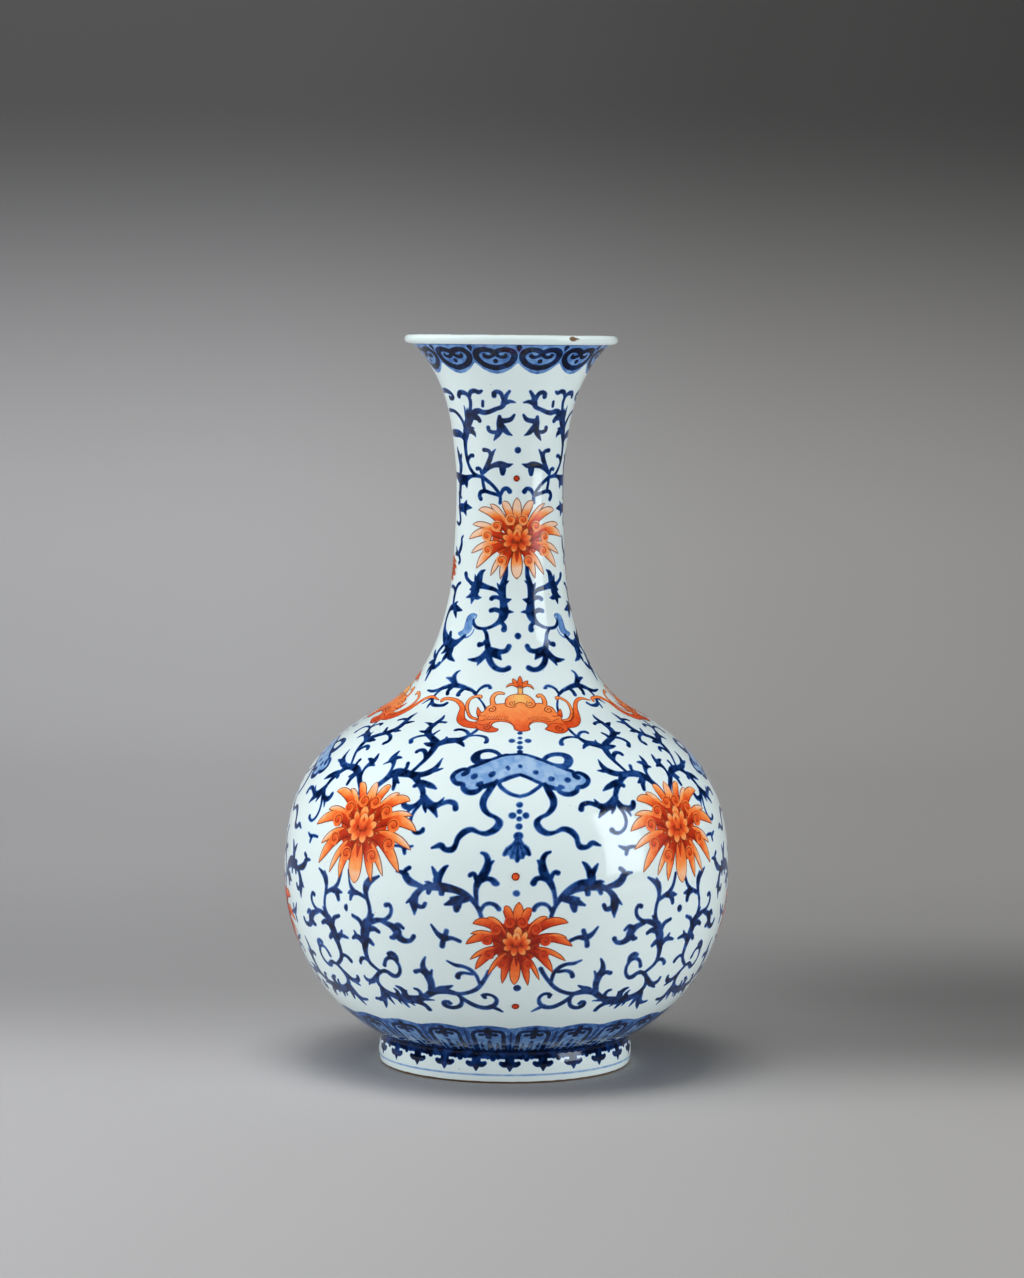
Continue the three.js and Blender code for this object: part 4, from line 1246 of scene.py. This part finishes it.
# Low flowers: four lotus heads in iron-red enamel, which is painted over the fired glaze and fired again at
# a lower heat, so it stands a little proud. Each petal is a pad of enamel, deep red at its root and thin at
# its tip, with a fine dark outline. Under each flower and over it is a red dot.
ENAMEL_TONES = [
    (0.00, (0.80, 0.54, 0.38)),
    (0.20, (0.84, 0.31, 0.090)),
    (0.42, (0.80, 0.150, 0.030)),
    (0.68, (0.56, 0.044, 0.009)),
    (1.00, (0.25, 0.010, 0.003)),
]
GOLD = (0.80, 0.47, 0.13)
LINE_BROWN = (0.16, 0.018, 0.006)
OUTLINE = 0.00040
COAT = 0.0000015
THICK_COAT = 0.000004
iron_red = Finish("iron_red_enamel", IOR=1.5, Specular_IOR_Level=0.25)
cloud = iron_red.noise(0.0035, 3)
enamel_colour = iron_red.ramp(iron_red.attribute("tone") + 0.30 * (cloud - 0.5), ENAMEL_TONES)
enamel_colour = iron_red.mix(iron_red.attribute("gold") * 0.85, enamel_colour, GOLD)
enamel_colour = iron_red.mix(iron_red.attribute("line") * 0.9, enamel_colour, LINE_BROWN)
iron_red.set(Base_Color=enamel_colour)
iron_red.set(Roughness=0.20 + 0.16 * iron_red.noise(0.004, 3))
iron_red.bump(iron_red.noise(0.0016, 2), 0.00003)


class Enamel:
    """Pads and lines of enamel on the map, gathered into one mesh. The motif stands at one turn round the
    vase, mirrored or not, and each pad lies a coat higher than the one before it."""

    def __init__(self, turn=0.0, mirror=False):
        self.bm = bmesh.new()
        self.layers = [self.bm.verts.layers.float.new(name) for name in ("tone", "line", "gold")]
        self.turn = turn
        self.side = -1 if mirror else 1
        self.lift = 0.00003

    def vertex(self, x, y, lift, tone, line=0.0, gold=0.0):
        made = self.bm.verts.new(wall.place(self.turn + self.side * x + lean_at(y), y, lift)[0])
        for layer, value in zip(self.layers, (tone, line, gold)):
            made[layer] = value
        return made

    def face(self, *corners):
        """A face, which a mirrored motif turns over."""
        self.bm.faces.new(corners if self.side > 0 else corners[::-1])

    def pad(self, points, tones, thick=0.00005, outline=True, gold=0.0, slant=0.0):
        """A stroke of enamel through (x, y, width) points. tones are those of its first and last end, and
        slant darkens one side of it."""
        self.lift += COAT
        scale = wall.scale(points[0][1])
        line = brushed(points, 0.0011 / scale)
        along = np.gradient(line[:, :2], axis=0)
        along /= np.maximum(np.hypot(along[:, 0], along[:, 1]), 1e-9)[:, None]
        rows = []
        for number, ((x, y, width), (ahead_x, ahead_y)) in enumerate(zip(line, along)):
            share = number / (len(line) - 1)
            turned = min(max((share - 0.5) * 1.6 + 0.5, 0), 1)
            tone = tones[0] + (tones[1] - tones[0]) * turned * turned * (3 - 2 * turned)
            half = max(width / 2, 0.05 * OUTLINE / scale)
            edge = min(OUTLINE / scale / half, 0.6)
            at_end = outline and (share == 1 or share == 0)
            row = []
            for column in (-1, edge - 1, 1.6 * edge - 1, 0, 1 - 1.6 * edge, 1 - edge, 1):
                dark = outline and (at_end or abs(column) > 1 - 1.1 * edge)
                high = self.lift + thick * (1 - column * column)
                shaded = tone + slant * column
                across_x, across_y = x - ahead_y * half * column, y + ahead_x * half * column
                row.append(self.vertex(across_x, across_y, high, shaded, float(dark), gold))
            rows.append(row)
        for low, high in zip(rows, rows[1:]):
            for a, b, c, d in zip(low, low[1:], high[1:], high):
                self.face(a, d, c, b)

    def line_of(self, points, width, darkness=1.0):
        """A fine dark line."""
        self.lift += COAT
        scale = wall.scale(points[0][1])
        line = brushed([(x, y, width) for x, y in points], 0.0007 / scale)
        along = np.gradient(line[:, :2], axis=0)
        along /= np.maximum(np.hypot(along[:, 0], along[:, 1]), 1e-9)[:, None]
        rows = []
        for (x, y, _), (ahead_x, ahead_y) in zip(line, along):
            rows.append([
                self.vertex(x - ahead_y * way, y + ahead_x * way, self.lift + 0.00006, 0.8, darkness)
                for way in (-width / 2, width / 2)
            ])
        for low, high in zip(rows, rows[1:]):
            self.face(low[0], high[0], high[1], low[1])

    def disc(self, x, y, radius, tones, thick=0.00006, sides=18, outline=True, tall=1.0):
        """A round pad; tones are those of its middle and its edge."""
        self.lift += COAT
        edge = min(OUTLINE / wall.scale(y) / radius, 0.5)
        middle = self.vertex(x, y, self.lift + thick, tones[0])
        rings = []
        for share in (0.4, 0.75, 1 - 1.6 * edge, 1 - edge, 1):
            dark = float(outline and share > 1 - 1.1 * edge)
            tone = tones[0] + (tones[1] - tones[0]) * share
            ring_height = self.lift + thick * (1 - share * share)
            rings.append([
                self.vertex(
                    x + radius * share * math.cos(math.tau * side / sides),
                    y + radius * tall * share * math.sin(math.tau * side / sides),
                    ring_height, tone, dark,
                )
                for side in range(sides)
            ])
        for side in range(sides):
            after = (side + 1) % sides
            self.face(middle, rings[0][side], rings[0][after])
            for inner, outer in zip(rings, rings[1:]):
                self.face(inner[side], outer[side], outer[after], inner[after])

    def spiral(self, x, y, radius, start, turns, width, darkness=1.0):
        """A scroll line that winds in from its radius."""
        steps = max(6, round(abs(turns) * 12))
        points = []
        for step in range(steps + 1):
            share = step / steps
            reach = radius * (1 - 0.78 * share)
            angle = math.radians(start) + math.tau * turns * share
            points.append((x + reach * math.cos(angle), y + reach * math.sin(angle)))
        self.line_of(points, width, darkness)

    def shape(self, outline, tone, gold=None, thick=0.00005, grid=1.2):
        """A filled outline. tone and gold give the value at each x, y."""
        self.lift += THICK_COAT
        outline = np.array([(x, y) for x, y, _ in brushed([(x, y, 1) for x, y in outline], 0.8)])
        edge = OUTLINE / wall.scale(float(outline[0, 1]))
        around = np.roll(outline, -1, axis=0) - np.roll(outline, 1, axis=0)
        around /= np.maximum(np.hypot(around[:, 0], around[:, 1]), 1e-9)[:, None]
        after = np.roll(outline, -1, axis=0)
        area = float(np.sum(outline[:, 0] * after[:, 1] - outline[:, 1] * after[:, 0]))
        inward = np.stack([-around[:, 1], around[:, 0]], 1) * (1 if area > 0 else -1)
        low, high = outline.min(0), outline.max(0)
        steps = [np.arange(low[axis], high[axis], grid) for axis in (0, 1)]
        spread = np.stack(np.meshgrid(*steps), -1).reshape(-1, 2)
        spread = spread[depth_inside_shape(spread, outline) > 2.2 * edge]
        points = np.concatenate([outline, outline + inward * edge, outline + inward * edge * 1.6, spread])
        count = len(outline)
        edges = []
        for ring in range(3):
            edges += [(ring * count + i, ring * count + (i + 1) % count) for i in range(count)]
        found = geometry.delaunay_2d_cdt([Vector(point) for point in points], edges, [], 1, 1e-5)
        at = np.array([tuple(point) for point in found[0]])
        depths = depth_inside_shape(at, outline)
        made = []
        for (x, y), depth in zip(at, depths):
            cover = min(max(depth, 0) / (3 * edge), 1)
            dark = float(depth < 1.15 * edge)
            gilt = gold(x, y) if gold else 0.0
            made.append(self.vertex(x, y, self.lift + thick * cover, tone(x, y), dark, gilt))
        for face in found[2]:
            self.face(*(made[i] for i in face))

    def piece(self, name):
        for face in self.bm.faces:
            face.smooth = True
        made = piece_from(self.bm, name, iron_red.material)
        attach(made, "root")


# Ten petals with a small scroll on each lie over ten pale ones, round a bud. The list gives the tips and
# widths from the top down, as seen from the middle.
LOW_PETALS = [
    (0.8, 10.4, 2.5), (-3.0, 9.0, 1.9), (4.0, 8.4, 1.9), (-7.2, 6.4, 1.5), (7.8, 6.6, 1.5),
    (-10.7, 4.8, 2.0), (13.0, 5.0, 2.0), (-11.4, 2.2, 1.3), (12.8, 1.2, 1.3), (-12.7, -0.6, 2.0),
    (14.3, -1.2, 2.0), (-11.9, -4.8, 1.4), (12.8, -5.2, 1.4), (-10.7, -7.6, 2.1), (9.5, -8.4, 2.1),
    (-7.5, -9.2, 1.3), (6.1, -10.8, 1.3), (-3.8, -11.8, 1.9), (3.1, -12.4, 1.9), (-0.6, -12.2, 2.6),
]
SCROLLS = [
    (-1.5, 5.3), (1.5, 5.3), (-4.9, 3.5), (4.9, 3.5), (-7.3, 0.7), (7.3, 0.5), (-7.0, -3.2), (6.9, -3.3),
    (-3.6, -5.9), (2.9, -6.0),
]


def petal(enamel, tip, width, root, droop, tones, slant):
    """A petal from near the middle to its tip, which bends down."""
    x, y = tip
    shares = (0.0, 0.3, 0.55, 0.75, 0.9, 1.0)
    widths = (0.62, 0.95, 1.0, 0.88, 0.56, 0.1)
    bend = [4 * share * (1 - share) * droop for share in shares]
    enamel.pad(
        [
            (root[0] + (x - root[0]) * share, root[1] + (y - root[1]) * share + lift, width * wide)
            for share, wide, lift in zip(shares, widths, bend)
        ],
        tones,
        slant=slant,
    )


class Moved:
    """Lets a motif be drawn about its own middle."""

    def __init__(self, enamel, x, y):
        self.enamel, self.x, self.y = enamel, x, y

    def pad(self, points, *rest, **options):
        self.enamel.pad([(self.x + x, self.y + y, width) for x, y, width in points], *rest, **options)

    def disc(self, x, y, *rest, **options):
        self.enamel.disc(self.x + x, self.y + y, *rest, **options)

    def spiral(self, x, y, *rest, **options):
        self.enamel.spiral(self.x + x, self.y + y, *rest, **options)


# The bud in the middle of a flower: root, tip and width of each small petal, the hindmost first.
BUD = [
    (0.1, 0.6, 0.6, 4.3, 2.5), (-1.0, -0.3, -2.1, 2.9, 1.8), (1.2, -0.3, 2.6, 3.0, 1.9),
    (-1.1, -0.6, -3.4, 0.9, 2.0), (1.2, -0.6, 3.6, 0.8, 2.0), (-0.9, -0.9, -3.2, -1.7, 2.0),
    (1.2, -0.8, 3.6, -1.5, 1.9), (0.5, -0.9, 2.1, -3.2, 2.2), (-0.4, -0.9, -0.8, -3.6, 2.1),
    (0.0, -1.0, 0.1, 2.9, 2.6),
]
BACK_PETALS = (0, 19, 3, 4, 7, 8, 11, 12, 15, 16)


def flower(enamel, x, y, petals, wide, tall, deep, pale):
    """wide and tall are the flower's sizes as multiples of the low flower's, deep and pale its tones."""
    size = math.sqrt(wide * tall)
    at = Moved(enamel, x, y)
    at.disc(0, 0, 5.9 * wide, (deep, deep - 0.1), thick=0.00001, outline=False, tall=tall / wide)
    front = [number for number in range(20) if number not in BACK_PETALS]
    for number in (*BACK_PETALS, *front):
        tip_x, tip_y, width = petals[number]
        side = 1 if tip_x > 0 else -1
        if number in BACK_PETALS:
            root, droop, tones, fat = 0.30, 1.0, (deep - 0.34, pale - 0.14), 1.12
        else:
            root, droop, tones, fat = 0.20, 2.0, (deep + 0.06, pale), 1.22
        at_column = number in (0, 19)
        droop = 0.0 if at_column else droop * size
        slant = 0.0 if at_column else -0.18 * side
        petal(at, (tip_x, tip_y), width * fat, (tip_x * root, tip_y * root), droop, tones, slant)
    for number in range(10):
        angle = math.tau * (number + 0.5) / 10
        out_x, out_y = math.cos(angle) * wide, math.sin(angle) * tall
        at.pad([
            (out_x * reach, out_y * reach, fullness * size)
            for reach, fullness in ((2.6, 1.2), (3.8, 1.2), (5.2, 0.8), (6.6, 0.15))
        ], (deep + 0.12, deep), thick=0.00002, outline=False)
        seed = [(out_x * 3.6, out_y * 3.6, 0.5 * size), (out_x * 4.3, out_y * 4.3, 0.6 * size)]
        at.pad(seed, (0.30, 0.15))
    for place_x, place_y in SCROLLS:
        side = 1 if place_x > 0 else -1
        radius = 1.42 * size
        curl_x, curl_y = place_x * wide, place_y * tall
        at.disc(curl_x, curl_y, radius, (deep - 0.12, pale + 0.12), thick=0.00004, outline=False)
        low_y = curl_y - 0.25 * radius
        at.disc(curl_x, low_y, radius * 0.6, (deep - 0.05, deep - 0.25), thick=0.00003, outline=False)
        start = 235 if side > 0 else -55
        at.spiral(curl_x, curl_y, radius, start, -1.1 * side, 0.19 * size, 0.8)
    for root_x, root_y, tip_x, tip_y, width in BUD:
        bud_tip, bud_root = (tip_x * wide, tip_y * tall), (root_x * wide, root_y * tall)
        petal(at, bud_tip, width * size, bud_root, 0.0, (0.66, 0.18), 0.0)
    heart = [
        (0, -0.2 * tall, 0.9 * size), (0, 0.9 * tall, 1.3 * size), (0.1 * wide, 2.2 * tall, 0.2 * size),
    ]
    at.pad(heart, (0.46, 0.80), outline=False)


for copy in range(4):
    low_flower = Enamel(90 * copy - 0.2)
    flower(low_flower, 0, -11.2, LOW_PETALS, wide=1.0, tall=1.0, deep=0.92, pale=0.50)
    low_flower.disc(0, 5.4, 1.0, (0.55, 0.7))
    low_flower.disc(0, -31.1, 1.1, (0.7, 0.8))
    low_flower.piece(f"low_flower_{copy + 1}")

# Side flowers: four larger and paler lotus heads in the same enamel, half-way between the columns, where
# the scroll's arcs meet. The two at the back are mirrored.
SIDE_PETALS = [
    (0.3, 12.6, 3.0), (-5.3, 11.6, 2.2), (6.5, 11.4, 2.2), (-8.9, 9.8, 1.8), (9.0, 9.6, 1.8),
    (-12.8, 7.8, 2.5), (14.5, 8.2, 2.4), (-14.5, 3.8, 1.8), (15.0, 3.0, 1.8), (-16.5, -0.3, 2.6),
    (18.5, -1.5, 2.5), (-15.8, -5.0, 2.0), (14.5, -6.0, 2.0), (-13.1, -10.8, 2.6), (14.5, -11.0, 2.6),
    (-8.5, -12.0, 1.8), (9.8, -12.8, 1.8), (-5.0, -13.6, 2.5), (6.0, -13.8, 2.5), (0.5, -14.6, 4.0),
]
for copy in range(4):
    side_flower = Enamel(90 * copy + 46.9, mirror=copy > 1)
    flower(side_flower, 0, 16.0, SIDE_PETALS, wide=1.32, tall=1.24, deep=0.78, pale=0.24)
    side_flower.piece(f"side_flower_{copy + 1}")

# Neck flowers: a pale lotus head of the same enamel at the front of the neck and one at its back, each with
# a red dot over it. The map's degrees are narrow here, so its numbers are large.
NECK_PETALS = [
    (0.0, 43.5, 9.5), (-16, 38.0, 7.5), (18.5, 38.5, 8.0), (-29, 36.0, 6.5), (33, 37.0, 5.0),
    (-42.5, 29.5, 7.5), (47, 29.5, 8.0), (-50, 14.0, 6.5), (55, 14.0, 7.0), (-54.5, -1.5, 7.5),
    (62, 1.0, 8.5), (-50.5, -16.0, 6.5), (54, -16.5, 6.5), (-43, -31.0, 9.0), (47.5, -30.0, 9.0),
    (-26.5, -38.0, 6.0), (29.5, -37.0, 6.0), (-16.5, -41.0, 7.5), (19, -40.5, 8.0), (0.0, -41.0, 11.0),
]
for copy in range(2):
    neck_flower = Enamel(180 * copy)
    flower(neck_flower, 0, 218.0, NECK_PETALS, wide=4.35, tall=3.75, deep=0.74, pale=0.0)
    neck_flower.disc(-0.7, 281.5, 3.4, (0.7, 0.8))
    neck_flower.piece(f"neck_flower_{copy + 1}")

# Little flowers: a small lotus head of the same enamel at each side of the neck, of which the front shows
# only the edge.
for copy in range(2):
    little_flower = Enamel(180 * copy + 90)
    flower(little_flower, 0, 186.0, LOW_PETALS, wide=1.55, tall=1.9, deep=0.84, pale=0.1)
    little_flower.piece(f"little_flower_{copy + 1}")

# Bats: four bats with spread wings on the shoulder, in the same enamel, each with a lotus over its head and
# a touch of gold on it. They are seen from above and hold the chimes' cords.
def leaning(points):
    """Points as seen from the front, set upright."""
    return [(point[0] - lean_at(point[1]), *point[1:]) for point in points]


def bat(enamel):
    """A bat with spread wings, seen from above, that holds a lotus over its head."""
    def draw(points, tones, gold=0.0):
        enamel.pad(leaning(points), tones, gold=gold)

    def red(x, y):
        return float(np.interp(y, (52, 58, 62, 74), (0.62, 0.52, 0.36, 0.26)))

    def pale(x, y):
        return 0.3

    def golden(x, y):
        return min(max(1.15 - abs(x - 1.0) / 6.5, 0), 1) * float(np.interp(y, (71, 76), (0.5, 1)))

    draw([(-16, 57.5, 5.0), (-21, 58.2, 4.6), (-24.5, 61.2, 4.2), (-26, 65.5, 3.6), (-26.8, 69.5, 3.0),
          (-29, 72.6, 2.8), (-33, 75, 2.4), (-38, 75.6, 2.2), (-41.2, 74.5, 2.6), (-40.6, 72.8, 1.6)],
         (0.6, 0.34))
    draw([(20, 57.5, 5.0), (25, 58, 4.6), (28.6, 61, 4.0), (30.8, 65, 3.4), (33, 70, 2.8), (36, 74, 2.4),
          (40.5, 75.8, 2.2), (46.8, 74, 0.8)], (0.62, 0.34))
    draw([(-17, 61.8, 2.2), (-20.5, 63.4, 1.8), (-23.3, 67.5, 1.8), (-25, 72, 2.2), (-24.6, 76, 2.2),
          (-22, 78, 2.0), (-19, 78.3, 2.4), (-18.4, 76.8, 1.4)], (0.4, 0.25))
    draw([(21, 60.5, 2.2), (25, 61.6, 2.0), (28.3, 65.5, 1.8), (30, 70, 2.0), (29.8, 74, 2.0),
          (27, 76.8, 2.0), (24.3, 77.2, 2.4), (24.6, 75.4, 1.4)], (0.4, 0.25))
    draw([(-11, 72, 3.2), (-12, 77, 3.0), (-10.5, 80.2, 2.8), (-8, 81, 2.4),
          (-5.2, 80.3, 1.6)], (0.3, 0.18))
    draw([(15.5, 71, 3.2), (16.6, 75, 3.0), (16.2, 78.2, 2.8), (14.5, 79.4, 2.8), (12.8, 77.8, 2.0)],
         (0.35, 0.2))
    draw([(-16, 64.5, 3.6), (-17.8, 67.5, 2.4), (-18.9, 70.8, 0.6)], (0.55, 0.4))
    draw([(21, 64, 3.6), (22.6, 67, 2.4), (23.7, 69.5, 0.6)], (0.6, 0.5))
    body = [
        (-14.5, 71), (-12, 73.2), (-9, 73.5), (-5, 74), (0, 75), (6, 75), (10.5, 74), (14, 74), (17, 72.5),
        (20, 70), (20.8, 67), (22, 63.5), (21.5, 60.5), (22.2, 57), (21, 53.6), (18, 52), (14.8, 52.6),
        (11.6, 55), (13.2, 57), (13, 58.8), (10.5, 60), (7.5, 59.6), (5.6, 57.2), (5.8, 55), (4.2, 53.8),
        (1.5, 53.6), (-0.8, 54.8), (-1.2, 57.2), (-3, 59.4), (-6, 60.4), (-8.8, 59.8), (-10, 57.8),
        (-8.8, 56.2), (-7, 55.2), (-7.8, 53.4), (-10.5, 52.8), (-13.5, 53.6), (-16.4, 55.4), (-17.5, 58.5),
        (-17, 62), (-17.5, 65), (-16, 67.5), (-15, 69),
    ]
    enamel.shape(leaning(body + body[:1]), red)
    for x, y, radius, tone in (
        (-13.4, 69.4, 3.2, 0.66), (15.2, 68.8, 3.3, 0.74), (16.6, 54.9, 2.8, 0.74),
        (-13.6, 56.0, 2.5, 0.68),
    ):
        side = 1 if x > 0 else -1
        enamel.disc(x, y, radius, (tone, tone - 0.12), thick=0.00003)
        enamel.spiral(x, y, radius * 0.72, 90, 1.3 * side, 0.5)
    enamel.disc(0.5, 65.8, 2.6, (0.42, 0.5), thick=0.00004)
    for edge in (
        [(-16, 60.5), (-12, 61.8), (-8, 62), (-4, 61.4), (-1.5, 59)],
        [(5.5, 58.8), (8, 61.2), (11, 61.6), (14.5, 60.4), (17, 60.6), (20.5, 62.6)],
        [(-16.5, 58.5), (-13.5, 57.6), (-11.5, 58.6), (-11, 60.4)],
        [(14, 57.4), (15.6, 58.8), (18, 58.8), (20.5, 57.4)],
        [(-17.5, 64.8), (-15.5, 64.4), (-13.8, 65.2)],
        [(17.5, 64.6), (19.5, 64.2), (21.6, 65)],
    ):
        enamel.line_of(leaning(edge), 0.36, 0.8)
    for number in range(9):
        share = number / 8
        for low_x, low_y, lean in ((-14 + 10 * share, 61.6, -1), (6.5 + 9 * share, 61.2, 1)):
            low_y += 0.6 * math.sin(math.pi * share)
            hair = [(low_x, low_y), (low_x - 0.3 * lean, low_y + 1.4), (low_x - 0.9 * lean, low_y + 2.6)]
            enamel.line_of(leaning(hair), 0.26, 0.55)
    head = [
        (-5.2, 74.5), (-4.8, 77), (-2.8, 79.2), (0, 80.3), (3.5, 80.6), (7, 80), (9.6, 78), (11.2, 75),
        (11.2, 72.4), (9, 70.6), (6.4, 71.2), (5.2, 73.4), (3.2, 74.2), (1.2, 73.4), (0, 71.2),
        (-2.6, 70.8), (-4.8, 72.2),
    ]
    enamel.shape(leaning(head + head[:1]), pale, golden)
    enamel.disc(-3.6, 73.8, 2.4, (0.55, 0.3), thick=0.00003)
    enamel.disc(6.0, 73.6, 2.4, (0.55, 0.3), thick=0.00003)
    enamel.spiral(-3.6, 73.8, 1.9, 60, -1.3, 0.4)
    enamel.spiral(6.0, 73.6, 1.9, 120, 1.3, 0.4)
    draw([(3.6, 79.8, 4.0), (3.7, 82, 3.0), (3.8, 85, 3.6)], (0.3, 0.3), gold=0.7)
    draw([(2.6, 85.4, 2.0), (-0.6, 87.2, 2.2), (-3.2, 86.4, 1.8), (-4.6, 84.8, 0.6)], (0.38, 0.26))
    draw([(5.2, 85.4, 2.0), (8.6, 86.6, 2.2), (10.8, 85.4, 1.8), (12.0, 83.4, 0.6)], (0.38, 0.26))
    draw([(3.0, 85.4, 2.0), (1.2, 88, 3.0), (0, 90, 2.4), (-0.4, 91.4, 0.6)], (0.55, 0.4))
    draw([(4.8, 85.4, 2.0), (6.6, 87.4, 3.0), (8.4, 88.9, 2.2), (9.2, 89.8, 0.6)], (0.55, 0.4))
    draw([(3.8, 85.2, 2.4), (4.0, 88, 3.8), (4.1, 91, 2.8), (4.2, 93.2, 0.6)], (0.6, 0.4))


for copy in range(4):
    flying = Enamel(90 * copy)
    bat(flying)
    flying.piece(f"bat_{copy + 1}")
